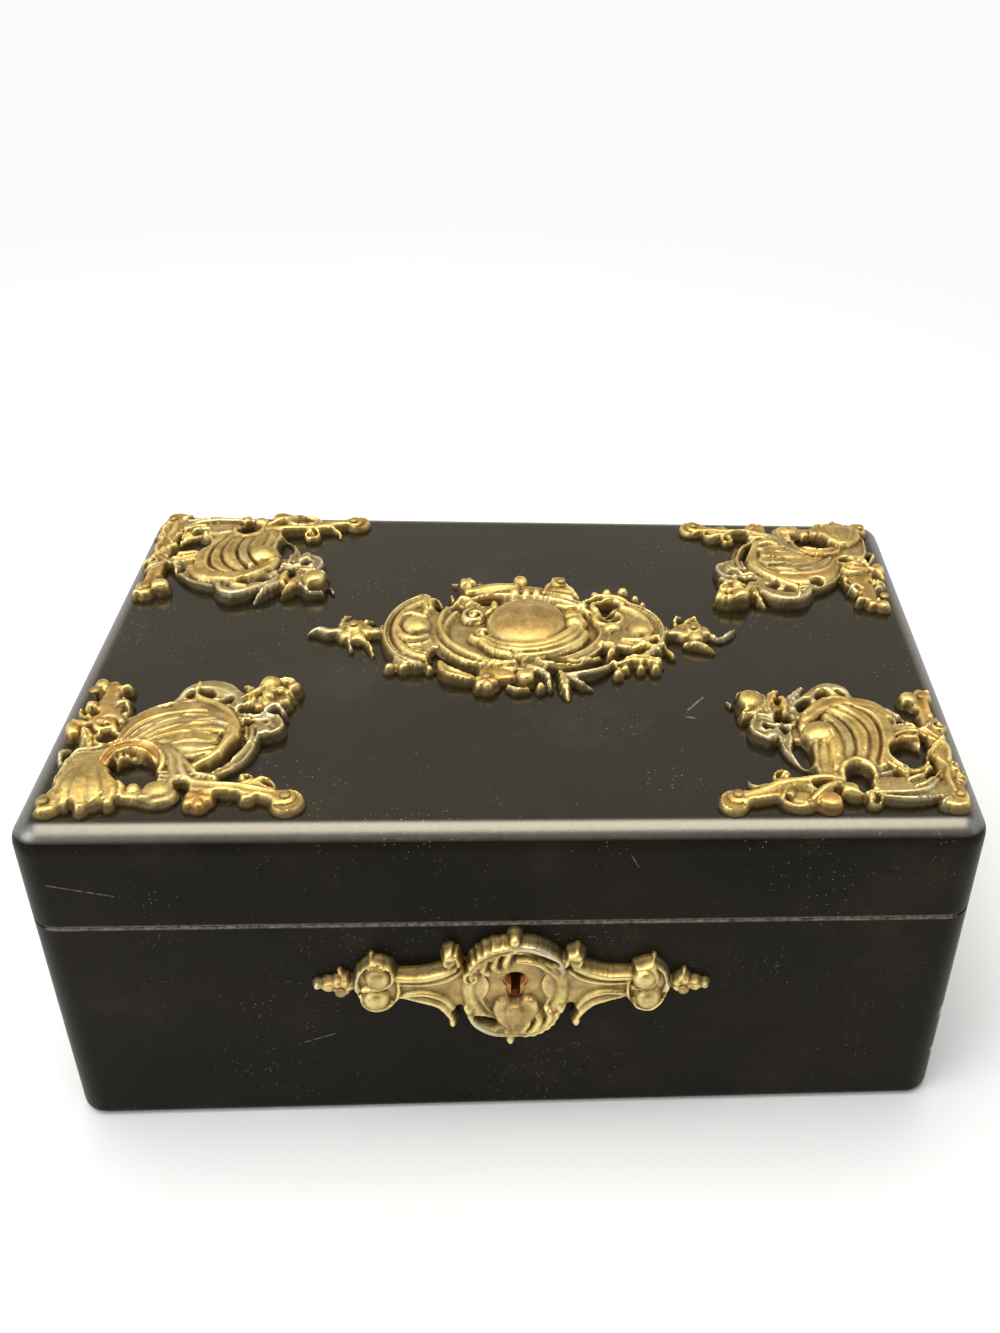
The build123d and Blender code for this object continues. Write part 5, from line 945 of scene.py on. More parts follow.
def ebonised_wood(finishes):
    """Black lacquer on close-grained wood, dusty and rubbed, with bare wood round the keyhole and a painted
    highlight on the rounded top edges of the lid.
    """
    recipe = Recipe("ebonised_wood")
    x, y, z = recipe.axes()
    patches = recipe.noise(14, 5)
    ragged = recipe.noise(700, 4, 0.7)
    grain = recipe.noise(60, 6, 0.6, recipe.turned((0.06, 1, 1)))
    colour = recipe.ramp(patches, (0.3, finishes.lacquer[:]), (0.75, finishes.lacquer_brown[:]))
    smudge = recipe.spread(recipe.noise(30, 6, 0.65), 0.55, 0.75, 0, 0.3)
    colour = recipe.mix(smudge, colour, (0.045, 0.036, 0.022))

    dust_size = recipe.cells(620)
    dust_area = recipe.spread(recipe.noise(45, 3), 0.48, 0.66)
    dust = recipe.sums("MULTIPLY", recipe.spread(dust_size, 0.13, 0.08), dust_area)
    colour = recipe.mix(recipe.sums("MULTIPLY", dust, 0.55), colour, (0.36, 0.34, 0.28))

    scratches = recipe.along(*SCRATCHES[0], ragged)
    for start, end, width in SCRATCHES[1:]:
        scratches = recipe.sums("MAXIMUM", scratches, recipe.along(start, end, width, ragged))
    colour = recipe.mix(recipe.sums("MULTIPLY", scratches, 0.5), colour, (0.3, 0.28, 0.22))

    side_y = recipe.spread(recipe.sums("ABSOLUTE", y), HALF_DEPTH - TOP_ROUND, HALF_DEPTH)
    side_x = recipe.spread(recipe.sums("ABSOLUTE", x), HALF_LENGTH - TOP_ROUND, HALF_LENGTH)
    near_side = recipe.sums("MAXIMUM", side_x, side_y)
    near_top = recipe.spread(z, LID_TOP - 0.55 * TOP_ROUND, LID_TOP - 0.2 * TOP_ROUND)
    rubbed = recipe.spread(recipe.sums("MULTIPLY", near_side, near_top), 0.05, 0.35)
    # The lighter colour on the rounded top edges of the lid is rubbed wear and also a painted highlight along
    # the edge.
    edge_wear_and_highlight = recipe.sums("MULTIPLY", rubbed, recipe.spread(ragged, 0.4, 0.7, 0.05, 0.4))
    colour = recipe.mix(edge_wear_and_highlight, colour, (0.10, 0.095, 0.08))

    from_joint = recipe.sums("ABSOLUTE", recipe.sums("SUBTRACT", z, JOINT_HEIGHT))
    joint_wear = recipe.spread(from_joint, WEAR_UP_END, WEAR_UP_FULL)
    outer_y = recipe.spread(recipe.sums("ABSOLUTE", y), HALF_DEPTH - WEAR_IN_END, HALF_DEPTH - WEAR_IN_FULL)
    outer_x = recipe.spread(recipe.sums("ABSOLUTE", x), HALF_LENGTH - WEAR_IN_END, HALF_LENGTH - WEAR_IN_FULL)
    joint_wear = recipe.sums("MULTIPLY", joint_wear, recipe.sums("MAXIMUM", outer_x, outer_y))
    joint_wear = recipe.sums("MULTIPLY", joint_wear, recipe.spread(ragged, 0.35, 0.6, 0.15, 1))
    colour = recipe.mix(recipe.sums("MULTIPLY", joint_wear, 0.7), colour, (0.3, 0.27, 0.21))

    worn = recipe.near(CHIPS[0][0], CHIPS[0][1], ragged)
    for place, reach in CHIPS[1:]:
        worn = recipe.sums("MAXIMUM", worn, recipe.near(place, reach, ragged))
    colour = recipe.mix(worn, colour, (0.42, 0.36, 0.26))

    bare = recipe.near((0, -HALF_DEPTH, KEYHOLE_HEIGHT - BARE_DROP), BARE_REACH, ragged)
    bare_wood = recipe.ramp(grain, (0.3, (0.5, 0.2, 0.06)), (0.7, (0.8, 0.42, 0.16)))
    colour = recipe.mix(bare, colour, bare_wood)

    dulled = recipe.spread(z, LID_TOP - 0.5 * MM, LID_TOP - 4 * MM, 0, 0.16)
    rough = recipe.sums("ADD", recipe.spread(patches, 0.3, 0.8, 0, 0.07), finishes.lacquer_roughness)
    rough = recipe.sums("ADD", rough, dulled)
    rough = recipe.sums("ADD", rough, recipe.sums("MULTIPLY", rubbed, 0.1))
    matt = recipe.sums("MULTIPLY", recipe.sums("ADD", dust, bare), 0.35)
    rough = recipe.sums("ADD", rough, matt, clamp=True)
    bumps = [
        (grain, 0.10, 0.0004),
        (recipe.noise(18, 2), 0.25, 0.0012),
        (recipe.sums("SUBTRACT", ragged, recipe.sums("ADD", worn, scratches)), 0.08, 0.0002),
    ]
    polish = recipe.spread(z, LID_TOP - 1.5 * MM, LID_TOP - 0.2 * MM, SIDE_POLISH, LID_POLISH)
    polish = recipe.sums("MAXIMUM", polish, rubbed)
    recipe.shader.inputs["Specular IOR Level"].default_value = LID_POLISH
    recipe.link(polish, recipe.shader.inputs["Specular IOR Level"])
    return recipe.finish(colour, rough, bumps, IOR=1.8)


def gilt_brass(finishes):
    """Old gilding on cast brass: dark in its hollows from grime and painted shade, bright on its proud parts
    from rubbing and a painted highlight, pale or coppery in places.
    """
    recipe = Recipe("gilt_brass")
    proud = recipe.attribute("proud")
    clouds = recipe.noise(160, 5, 0.6)
    grime = recipe.noise(900, 5, 0.65)
    level = recipe.sums("ADD", proud, recipe.spread(clouds, 0.3, 0.7, -0.16, 0.16))
    level = recipe.sums("ADD", level, recipe.spread(grime, 0.3, 0.7, -0.08, 0.08), clamp=True)
    # Gold, silver and copper each run from dark in the hollows to bright on the proud parts: grime and
    # painted shade low, rubbed wear and painted highlight high.
    gold = recipe.ramp(level, (0.2, finishes.gilt_hollow_grime_and_shade[:]), (0.42, finishes.gilt_shade[:]),
                       (0.54, finishes.gilt[:]), (0.76, finishes.gilt_rubbed_and_highlight[:]))
    silver = recipe.ramp(level, (0.2, (0.11, 0.095, 0.062)), (0.5, (0.31, 0.27, 0.175)),
                         (0.85, (0.66, 0.60, 0.42)))
    copper = recipe.ramp(level, (0.2, (0.16, 0.07, 0.02)), (0.55, (0.50, 0.24, 0.07)),
                         (0.85, (0.86, 0.54, 0.20)))
    pale = recipe.sums("MULTIPLY", recipe.attribute("pale"), recipe.spread(clouds, 0.35, 0.6, 0.55, 1))
    colour = recipe.mix(pale, gold, silver)
    colour = recipe.mix(recipe.attribute("copper"), colour, copper)
    rough = recipe.spread(level, 0.2, 0.8, 0.5, finishes.gilt_roughness)
    rough = recipe.sums("ADD", rough, recipe.spread(grime, 0.4, 0.7, 0, 0.12), clamp=True)
    bumps = [(recipe.noise(420, 4), 0.5, 0.0005), (recipe.noise(2200, 3), 0.3, 0.00012)]
    return recipe.finish(colour, rough, bumps, Metallic=1.0)


def worked_metal(name, dark, light, rough, grain_scale, grain_turn=(0, 0, 0)):
    """Brushed or aged metal with streaks one way, stains and fine pits."""
    recipe = Recipe(name)
    streaks = recipe.noise(grain_scale, 5, 0.6, recipe.turned((0.05, 1, 1), grain_turn))
    stains = recipe.noise(120, 5, 0.6)
    level = recipe.sums("ADD", recipe.sums("MULTIPLY", streaks, 0.6), recipe.sums("MULTIPLY", stains, 0.4))
    colour = recipe.ramp(level, (0.3, dark), (0.65, light))
    roughness = recipe.spread(stains, 0.3, 0.7, rough, rough + 0.18)
    bumps = [(streaks, 0.25, 0.0002), (recipe.noise(1500, 3), 0.2, 0.0001)]
    return recipe.finish(colour, roughness, bumps, Metallic=1.0)


def bottom_wood():
    """Stained plain wood, with its grain along the length."""
    recipe = Recipe("bottom_wood")
    rings = recipe.noise(45, 6, 0.6, recipe.turned((0.08, 1, 1)))
    fibre = recipe.noise(900, 4, 0.6, recipe.turned((0.03, 1, 1)))
    colour = recipe.ramp(rings, (0.3, (0.035, 0.014, 0.006)), (0.55, (0.10, 0.042, 0.016)),
                         (0.8, (0.15, 0.07, 0.028)))
    colour = recipe.mix(recipe.spread(fibre, 0.4, 0.7, 0, 0.5), colour, (0.05, 0.02, 0.009))
    return recipe.finish(colour, recipe.spread(fibre, 0.3, 0.7, 0.45, 0.65), [(fibre, 0.4, 0.0003)])


def cloth(name, dark, light, weave_scale, rough, sheen, sheen_tint):
    """Velvet or satin: a fine weave, a pile that catches the light, and soft shading from wear."""
    recipe = Recipe(name)
    pile = recipe.noise(weave_scale, 3, 0.7)
    rubbed = recipe.noise(22, 4, 0.6)
    threads = recipe.noise(weave_scale, 2, 0.5, recipe.turned((0.12, 1, 1)))
    level = recipe.sums("ADD", recipe.sums("MULTIPLY", pile, 0.4), recipe.sums("MULTIPLY", rubbed, 0.6))
    colour = recipe.ramp(level, (0.3, dark), (0.7, light))
    roughness = recipe.spread(rubbed, 0.3, 0.7, rough, min(1, rough + 0.15))
    return recipe.finish(colour, roughness, [(pile, 0.5, 0.0004), (threads, 0.35, 0.0003)],
                         Sheen_Weight=sheen, Sheen_Roughness=0.35, Sheen_Tint=(*sheen_tint, 1))


def finish_for(slot_name):
    """The material of a slot of the record, made once."""
    if slot_name in bpy.data.materials and bpy.data.materials[slot_name].get("ready"):
        return bpy.data.materials[slot_name]
    finishes = bpy.context.scene.casket_finishes
    makers = {
        "ebonised_wood": lambda: ebonised_wood(finishes),
        "gilt_brass": lambda: gilt_brass(finishes),
        "bottom_wood": bottom_wood,
        "lock_brass": lambda: worked_metal("lock_brass", (0.30, 0.17, 0.06), (0.72, 0.50, 0.21), 0.32, 1300),
        "steel": lambda: worked_metal(
            "steel", (0.16, 0.15, 0.14), (0.42, 0.41, 0.39), 0.34, 1500, (0, 0, 1.3)),
        "velvet": lambda: cloth(
            "velvet", finishes.velvet_shade[:], finishes.velvet[:], 2600, 0.8, 0.8, (1, 0.72, 0.75)),
        "satin": lambda: cloth(
            "satin", finishes.satin_shade[:], finishes.satin[:], 1900, 0.42, 0.25, (1, 0.95, 0.85)),
    }
    for old in [m for m in bpy.data.materials if m.name == slot_name]:
        old.name = slot_name + "_plain"
    material = makers[slot_name]()
    material["ready"] = True
    return material


def dress(piece, slot_name):
    """Gives a piece the finish of a slot."""
    piece.data.materials.clear()
    piece.data.materials.append(finish_for(slot_name))


def add_piece(mesh, slot_name, body, *nodes):
    """A finished piece at the origin that rides a body and stands for the solids named."""
    piece = bpy.data.objects.new(mesh.name, mesh)
    bpy.context.scene.collection.objects.link(piece)
    dress(piece, slot_name)
    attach(piece, body)
    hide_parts(*nodes)
    return piece


def welded_copy(node, name):
    """A copy of a CAD solid's mesh with its loose triangles joined."""
    mesh = frame["nodes"][node].data.copy()
    mesh.name = name
    shape = bmesh.new()
    shape.from_mesh(mesh)
    bmesh.ops.remove_doubles(shape, verts=shape.verts, dist=1e-6)
    shape.to_mesh(mesh)
    shape.free()
    return mesh


# Scratches of the lacquer: start, end and half width, in metres
SCRATCHES = [
    ((-0.1165, -0.0800, 0.0925), (-0.1010, -0.0800, 0.0885), 0.00025),
    ((-0.0560, 0.0120, 0.1090), (-0.0470, 0.0010, 0.1090), 0.00025),
    ((0.0480, -0.0300, 0.1090), (0.0530, -0.0240, 0.1090), 0.00040),
    ((0.0470, -0.0330, 0.1090), (0.0500, -0.0335, 0.1090), 0.00040),
    ((0.0300, -0.0800, 0.1010), (0.0320, -0.0800, 0.0970), 0.00020),
    ((-0.0600, -0.0800, 0.0300), (-0.0500, -0.0800, 0.0340), 0.00020),
]

# Chips and bare spots of the lacquer: place and reach, in metres
CHIPS = [
    ((0.0942, -0.0795, 0.1076), 0.0012),
    ((0.1235, -0.0765, 0.0350), 0.0020),
    ((0.1235, -0.0765, 0.0180), 0.0016),
    ((-0.1245, -0.0760, 0.0700), 0.0015),
    ((-0.0400, -0.0795, 0.1070), 0.0006),
]

# The corner mounts: node, forms, 1 at the left or -1 at the right, 1 at the front or -1 at the back
CORNERS = [
    ("corner_mount_front_left", FLOWING, 1, 1),
    ("corner_mount_front_right", STANDING, -1, 1),
    ("corner_mount_back_left", STANDING, 1, -1),
    ("corner_mount_back_right", FLOWING, -1, -1),
]

# Pins of each mount, in the mount's own millimetres: x, y and the height of the seat
FLOWING_PINS = [(67, 11.2, 3.5), (8.4, 54.5, 3.5), (8, 10, 3.0)]
STANDING_PINS = [(67, 10.8, 3.5), (8.6, 52.5, 3.5), (7.5, 10.8, 3.4)]
CARTOUCHE_PINS = [(-50, 1, 5), (52.5, 0.5, 5), (12, 27, 4.2), (-9.5, -24, 4.4)]
ESCUTCHEON_PINS = [(-46.5, 1.6, 3.8), (46, 0.4, 3.8)]


def corner_place(side, end):
    """Maps a corner mount's own sizes to its corner of the lid."""
    def place(flat, height):
        x = side * (flat[:, 0] * MM - HALF_LENGTH)
        y = end * (flat[:, 1] * MM - HALF_DEPTH)
        return np.column_stack([x, y, LID_TOP + height * MM])
    return place


def cartouche_place(flat, height):
    return np.column_stack([flat[:, 0] * MM, flat[:, 1] * MM + CARTOUCHE_SHIFT, LID_TOP + height * MM])


def escutcheon_place(flat, height):
    return np.column_stack([flat[:, 0] * MM, -HALF_DEPTH - height * MM, flat[:, 1] * MM + ESCUTCHEON_HEIGHT])


def colour_setting(name, description, default):
    return bpy.props.FloatVectorProperty(
        name=name, description=description, subtype="COLOR", size=3, min=0, max=1, default=default)


def length_setting(name, description, millimetres):
    return bpy.props.FloatProperty(
        name=name, description=description, default=millimetres * MM, subtype="DISTANCE", unit="LENGTH")


def grid_setting(name, mount, default):
    return bpy.props.FloatProperty(
        name=name, description=f"Distance between the points of {mount}, in millimetres",
        default=default, min=0.2, max=1)


class CasketMountSettings(bpy.types.PropertyGroup):
    """How finely the carved mounts are made."""

    corner_step: grid_setting("Corner grid", "a corner mount", 0.28)
    cartouche_step: grid_setting("Cartouche grid", "the centre mount", 0.32)
    escutcheon_step: grid_setting("Keyhole grid", "the keyhole mount", 0.25)


class CasketFinishSettings(bpy.types.PropertyGroup):
    """Colours and polish of the finishes."""

    lacquer: colour_setting("Lacquer", "Black of the ebonised case", (0.0058, 0.0047, 0.0022))
    lacquer_brown: colour_setting("Lacquer, browned", "Where the black has faded", (0.013, 0.0104, 0.0056))
    lacquer_roughness: bpy.props.FloatProperty(
        name="Lacquer roughness", description="From a mirror to a dull rubbed surface",
        default=0.15, min=0, max=1)
    # The gilding's hollow and shade colours are grime and painted shade in the relief's hollows. Its rubbed
    # colour is rubbed wear and a painted highlight on the proud parts.
    gilt_hollow_grime_and_shade: colour_setting("Gilding, hollows", "Grime in the deepest places", (0.19, 0.14, 0.06))
    gilt_shade: colour_setting("Gilding, shade", "Darkened gilding", (0.37, 0.275, 0.11))
    gilt: colour_setting("Gilding", "Old gold", (0.50, 0.37, 0.135))
    gilt_rubbed_and_highlight: colour_setting("Gilding, rubbed", "Bright where hands touch it", (0.83, 0.68, 0.28))
    gilt_roughness: bpy.props.FloatProperty(
        name="Gilding roughness", description="Roughness of the rubbed gilding", default=0.33, min=0, max=1)
    velvet: colour_setting("Velvet", "Pile of the lower lining", (0.16, 0.012, 0.02))
    velvet_shade: colour_setting("Velvet, shade", "Between the pile", (0.06, 0.004, 0.008))
    satin: colour_setting("Satin", "Upper lining", (0.66, 0.58, 0.43))
    satin_shade: colour_setting("Satin, shade", "Between its threads", (0.44, 0.36, 0.24))


class CasketFastenerSettings(bpy.types.PropertyGroup):
    """Sizes of the pins and screws."""

    pin_head: length_setting("Pin head", "Radius of a pin's round head", 1.5)
    pin_rise: length_setting("Pin rise", "Height of a pin's round head", 0.7)
    pin_shank: length_setting("Pin shank", "Radius of a pin's shank", 0.6)
    pin_length: length_setting("Pin length", "Length of a pin's shank", 8)
    screw_head: length_setting("Screw head", "Radius of a screw's flat head", 1.7)
    screw_shank: length_setting("Screw shank", "Radius of a screw's shank", 0.8)
    screw_length: length_setting("Screw length", "Length from the head to the point", 6.5)
    slot_width: length_setting("Slot width", "Width of a screw's slot", 0.5)
    slot_depth: length_setting("Slot depth", "Depth of a screw's slot", 0.35)


class CasketPadSettings(bpy.types.PropertyGroup):
    """How the pads are stuffed."""

    pressure: bpy.props.FloatProperty(
        name="Stuffing", description="Pressure inside a pad while it swells", default=4, min=0, max=20)
    voxel: length_setting("Cloth step", "Distance between the points of a pad", 3.2)
    crown: length_setting("Crown", "How far a pad may swell past its card", 2.2)


class CasketStageSettings(bpy.types.PropertyGroup):
    """Floor, lamps and room."""

    floor_size: bpy.props.FloatProperty(
        name="Floor", description="Side of the pale floor", default=8, subtype="DISTANCE", unit="LENGTH")
    key_power: bpy.props.FloatProperty(
        name="Key lamp", description="Power of the overhead lamp", default=16, subtype="POWER", unit="POWER")
    fill_power: bpy.props.FloatProperty(
        name="Fill lamp", description="Power of the side lamp", default=7, subtype="POWER", unit="POWER")
    room_light: bpy.props.FloatProperty(
        name="Room light", description="Strength of the even light all round", default=0.55, min=0, max=2)


class CASKET_OT_case(bpy.types.Operator):
    """Finishes the boards, rails, hinges and lock parts that keep their solids"""

    bl_idname = "casket.case"
    bl_label = "Finish the case"

    def execute(self, context):
        for part in frame["record"]["subparts"]:
            node = frame["nodes"][part["node"]]
            dress(node, part["material_slot"])
        return {"FINISHED"}


# Lowest and highest corner of each relief's grid, in the mount's own millimetres
CORNER_EXTENT = (2.2, 3.4), (74.5, 63)
CARTOUCHE_EXTENT = (-67, -33), (68, 33)
ESCUTCHEON_EXTENT = (-56, -24), (56, 24)


class CASKET_OT_corner_mounts(bpy.types.Operator):
    """Carves the four corner mounts from two designs"""

    bl_idname = "casket.corner_mounts"
    bl_label = "Corner mounts"

    def execute(self, context):
        step = context.scene.casket_mounts.corner_step
        reliefs = {id(forms): Relief(forms, *CORNER_EXTENT, step) for forms in (FLOWING, STANDING)}
        for name, forms, side, end in CORNERS:
            mesh = reliefs[id(forms)].mesh("carved_" + name, corner_place(side, end), side * end < 0)
            add_piece(mesh, "gilt_brass", "lid", name)
        return {"FINISHED"}


class CASKET_OT_cartouche(bpy.types.Operator):
    """Carves the centre mount of the lid"""

    bl_idname = "casket.cartouche"
    bl_label = "Cartouche"

    def execute(self, context):
        relief = Relief(CARTOUCHE, *CARTOUCHE_EXTENT, context.scene.casket_mounts.cartouche_step)
        add_piece(relief.mesh("carved_cartouche", cartouche_place, False), "gilt_brass", "lid", "cartouche")
        return {"FINISHED"}


class CASKET_OT_escutcheon(bpy.types.Operator):
    """Carves the keyhole mount"""

    bl_idname = "casket.escutcheon"
    bl_label = "Keyhole mount"

    def execute(self, context):
        relief = Relief(ESCUTCHEON, *ESCUTCHEON_EXTENT, context.scene.casket_mounts.escutcheon_step)
        mesh = relief.mesh("carved_escutcheon", escutcheon_place, False)
        add_piece(mesh, "gilt_brass", "base", "escutcheon")
        return {"FINISHED"}


class FastenerTree:
    """A Geometry Nodes tree that sets one fastener on every point of a carrier."""

    def __init__(self, name, inputs):
        self.tree = bpy.data.node_groups.new(name, "GeometryNodeTree")
        self.tree.interface.new_socket("Geometry", in_out="INPUT", socket_type="NodeSocketGeometry")
        for label in inputs:
            self.tree.interface.new_socket(label, in_out="INPUT", socket_type="NodeSocketFloat")
        self.tree.interface.new_socket("Finish", in_out="INPUT", socket_type="NodeSocketMaterial")
        self.tree.interface.new_socket("Geometry", in_out="OUTPUT", socket_type="NodeSocketGeometry")
        self.given = self.tree.nodes.new("NodeGroupInput").outputs

    def node(self, kind, inputs=None, **settings):
        made = self.tree.nodes.new(kind)
        for key, value in settings.items():
            setattr(made, key, value)
        for label, value in (inputs or {}).items():
            if isinstance(value, bpy.types.NodeSocket):
                self.tree.links.new(value, made.inputs[label])
            else:
                made.inputs[label].default_value = value
        return made.outputs

    def sums(self, operation, first, second):
        return self.node("ShaderNodeMath", {0: first, 1: second}, operation=operation)[0]

    def vector(self, x=0.0, y=0.0, z=0.0):
        return self.node("ShaderNodeCombineXYZ", {0: x, 1: y, 2: z})[0]

    def moved(self, geometry, **inputs):
        return self.node("GeometryNodeTransform", {"Geometry": geometry, **inputs})[0]

    def close(self, *shapes):
        """Joins the shapes into one fastener, puts it on every point, and gives it its finish."""
        join = self.tree.nodes.new("GeometryNodeJoinGeometry")
        for shape in shapes:
            self.tree.links.new(shape, join.inputs[0])
        pose = self.node("GeometryNodeInputNamedAttribute", {"Name": "pose"}, data_type="QUATERNION")[0]
        points = self.node("GeometryNodeMeshToPoints", {"Mesh": self.given["Geometry"], "Radius": 0.001})[0]
        placed = self.node("GeometryNodeInstanceOnPoints", {
            "Points": points, "Instance": join.outputs[0], "Rotation": pose})[0]
        plain = self.node("GeometryNodeRealizeInstances", {"Geometry": placed})[0]
        finished = self.node("GeometryNodeSetMaterial", {
            "Geometry": plain, "Material": self.given["Finish"]})[0]
        self.node("NodeGroupOutput", {"Geometry": finished})
        return self.tree


def pin_tree():
    """A pin with a round head, its seat at the point and its shank below."""
    made = FastenerTree("round_headed_pins", ["Head radius", "Head rise", "Shank radius", "Shank length"])
    ball = made.node("GeometryNodeMeshUVSphere", {"Segments": 20, "Rings": 12, "Radius": 1.0})[0]
    radius = made.given["Head radius"]
    head = made.moved(ball, Scale=made.vector(radius, radius, made.given["Head rise"]))
    shank = made.node("GeometryNodeMeshCylinder", {
        "Vertices": 12, "Radius": made.given["Shank radius"], "Depth": made.given["Shank length"]})["Mesh"]
    half_down = made.sums("MULTIPLY", made.given["Shank length"], -0.5)
    return made.close(head, made.moved(shank, Translation=made.vector(z=half_down)))


def screw_tree():
    """A countersunk screw with a slot, its flat face at the point and its length below."""
    labels = ["Head radius", "Shank radius", "Length", "Slot width", "Slot depth"]
    made = FastenerTree("slotted_screws", labels)
    head_radius, shank_radius, length, slot_width, slot_depth = [made.given[label] for label in labels]
    head_depth = made.sums("SUBTRACT", head_radius, shank_radius)
    cone = made.node("GeometryNodeMeshCone", {
        "Vertices": 28, "Radius Top": head_radius, "Radius Bottom": shank_radius,
        "Depth": head_depth})["Mesh"]
    cone = made.moved(cone, Translation=made.vector(z=made.sums("MULTIPLY", head_depth, -1)))
    slot_length = made.sums("MULTIPLY", head_radius, 2.4)
    slot_size = made.vector(slot_length, slot_width, made.sums("MULTIPLY", slot_depth, 2))
    cutter = made.node("GeometryNodeMeshCube", {"Size": slot_size})[0]
    both = {"Mesh 1": cone, "Mesh 2": cutter}
    head = made.node("GeometryNodeMeshBoolean", both, operation="DIFFERENCE")[0]
    shank_length = made.sums("SUBTRACT", length, head_depth)
    shank = made.node("GeometryNodeMeshCylinder", {
        "Vertices": 14, "Radius": shank_radius, "Depth": shank_length})["Mesh"]
    shank_middle = made.sums("MULTIPLY", made.sums("ADD", length, head_depth), -0.5)
    return made.close(head, made.moved(shank, Translation=made.vector(z=shank_middle)))


# Level of the pins and screws on the gilding's ramp, from grime and painted shade at 0 to rubbed wear and
# painted highlight at 1
FASTENER_LEVEL = 0.4


def set_fasteners(name, tree, sizes, places, slot_name, body):
    """Puts a fastener on each place, as one plain mesh that stands for the node of that name."""
    mesh = bpy.data.meshes.new(name + "_points")
    mesh.from_pydata([place for place, facing, turn in places], [], [])
    poses = []
    for place, facing, turn in places:
        faced = Vector((0, 0, 1)).rotation_difference(Vector(facing)).to_matrix()
        poses.extend((faced @ Matrix.Rotation(radians(turn), 3, "Z")).to_quaternion())
    mesh.attributes.new("pose", "QUATERNION", "POINT").data.foreach_set("value", poses)
    carrier = bpy.data.objects.new(name + "_points", mesh)
    bpy.context.scene.collection.objects.link(carrier)
    modifier = carrier.modifiers.new("fasteners", "NODES")
    modifier.node_group = tree
    values = {**sizes, "Finish": finish_for(slot_name)}
    for item in tree.interface.items_tree:
        if item.in_out == "INPUT" and item.name in values:
            modifier[item.identifier] = values[item.name]
    bpy.context.view_layer.update()
    evaluated = carrier.evaluated_get(bpy.context.evaluated_depsgraph_get())
    made = bpy.data.meshes.new_from_object(evaluated)
    made.name = "set_" + name
    proud = made.attributes.new("proud", "FLOAT", "POINT")
    proud.data.foreach_set("value", [FASTENER_LEVEL] * len(made.vertices))
    carrier.modifiers.clear()
    bpy.data.objects.remove(carrier)
    made.shade_smooth()
    made.set_sharp_from_angle(angle=radians(40))
    add_piece(made, slot_name, body, name)


def pin_places(rows, place, facing):
    """Where the pins of a mount go, which way they face, and their turn."""
    return [(place(np.array([[x, y]]), np.array([seat]))[0].tolist(), facing, 0) for x, y, seat in rows]


# Which way a fastener's head faces
UP = (0, 0, 1)
DOWN = (0, 0, -1)
FRONT = (0, -1, 0)
BACK = (0, 1, 0)

# Where the screws sit, in millimetres: three across each leaf of a hinge, a small gap off the joint
HINGE_OFFSET = 75
HINGE_SCREW_PITCH = 10
HINGE_SCREW_DEPTH = 72.475
LEAF_GAP = 0.05
LOCK_SCREW_OFFSET = 23
LOCK_SCREW_DEPTH = -70
LOCK_SCREW_HEIGHTS = (69, 49)
LINK_SCREW_OFFSET = 22

# How far the slots are turned, in degrees. Those of the hinge screws turn on from screw to screw.
SLOT_TURN = 35
BASE_TURN_STEP = 40
LID_FIRST_TURN = 20
LID_TURN_STEP = 50


class CASKET_OT_fasteners(bpy.types.Operator):
    """Sets the round-headed pins and the slotted screws"""

    bl_idname = "casket.fasteners"
    bl_label = "Pins and screws"

    def execute(self, context):
        sizes = context.scene.casket_fasteners
        pins = pin_tree()
        screws = screw_tree()
        pin_sizes = {
            "Head radius": sizes.pin_head, "Head rise": sizes.pin_rise,
            "Shank radius": sizes.pin_shank, "Shank length": sizes.pin_length,
        }
        screw_sizes = {
            "Head radius": sizes.screw_head, "Shank radius": sizes.screw_shank, "Length": sizes.screw_length,
            "Slot width": sizes.slot_width, "Slot depth": sizes.slot_depth,
        }
        lid_places = []
        for _, forms, side, end in CORNERS:
            rows = FLOWING_PINS if forms is FLOWING else STANDING_PINS
            lid_places += pin_places(rows, corner_place(side, end), UP)
        lid_places += pin_places(CARTOUCHE_PINS, cartouche_place, UP)
        set_fasteners("lid_mount_pins", pins, pin_sizes, lid_places, "gilt_brass", "lid")
        front_places = pin_places(ESCUTCHEON_PINS, escutcheon_place, FRONT)
        set_fasteners("escutcheon_pins", pins, pin_sizes, front_places, "gilt_brass", "base")

        steps = (-HINGE_SCREW_PITCH, 0, HINGE_SCREW_PITCH)
        hinge_x = [(side * HINGE_OFFSET + step) * MM for side in (-1, 1) for step in steps]
        hinge_y = HINGE_SCREW_DEPTH * MM
        gap = LEAF_GAP * MM
        base_places = [
            ((x, hinge_y, JOINT_HEIGHT - gap), UP, SLOT_TURN + BASE_TURN_STEP * n)
            for n, x in enumerate(hinge_x)
        ]
        set_fasteners("base_hinge_screws", screws, screw_sizes, base_places, "steel", "base")
        lid_screws = [
            ((x, hinge_y, JOINT_HEIGHT + gap), DOWN, LID_FIRST_TURN + LID_TURN_STEP * n)
            for n, x in enumerate(hinge_x)
        ]
        set_fasteners("lid_hinge_screws", screws, screw_sizes, lid_screws, "steel", "lid")
        lock_places = [
            ((x * MM, LOCK_SCREW_DEPTH * MM, z * MM), BACK, SLOT_TURN)
            for x in (-LOCK_SCREW_OFFSET, LOCK_SCREW_OFFSET) for z in LOCK_SCREW_HEIGHTS
        ]
        set_fasteners("lock_screws", screws, screw_sizes, lock_places, "lock_brass", "base")
        link_low, link_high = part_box("link_plate_screws")
        link_y = (link_low.y + link_high.y) / 2
        link_places = [
            ((x * MM, link_y, JOINT_HEIGHT), DOWN, SLOT_TURN) for x in (-LINK_SCREW_OFFSET, LINK_SCREW_OFFSET)
        ]
        set_fasteners("link_plate_screws", screws, screw_sizes, link_places, "lock_brass", "lid")
        return {"FINISHED"}


# Rounding of the cloth over a card's edges
CARD_ROUND = 0.55 * MM


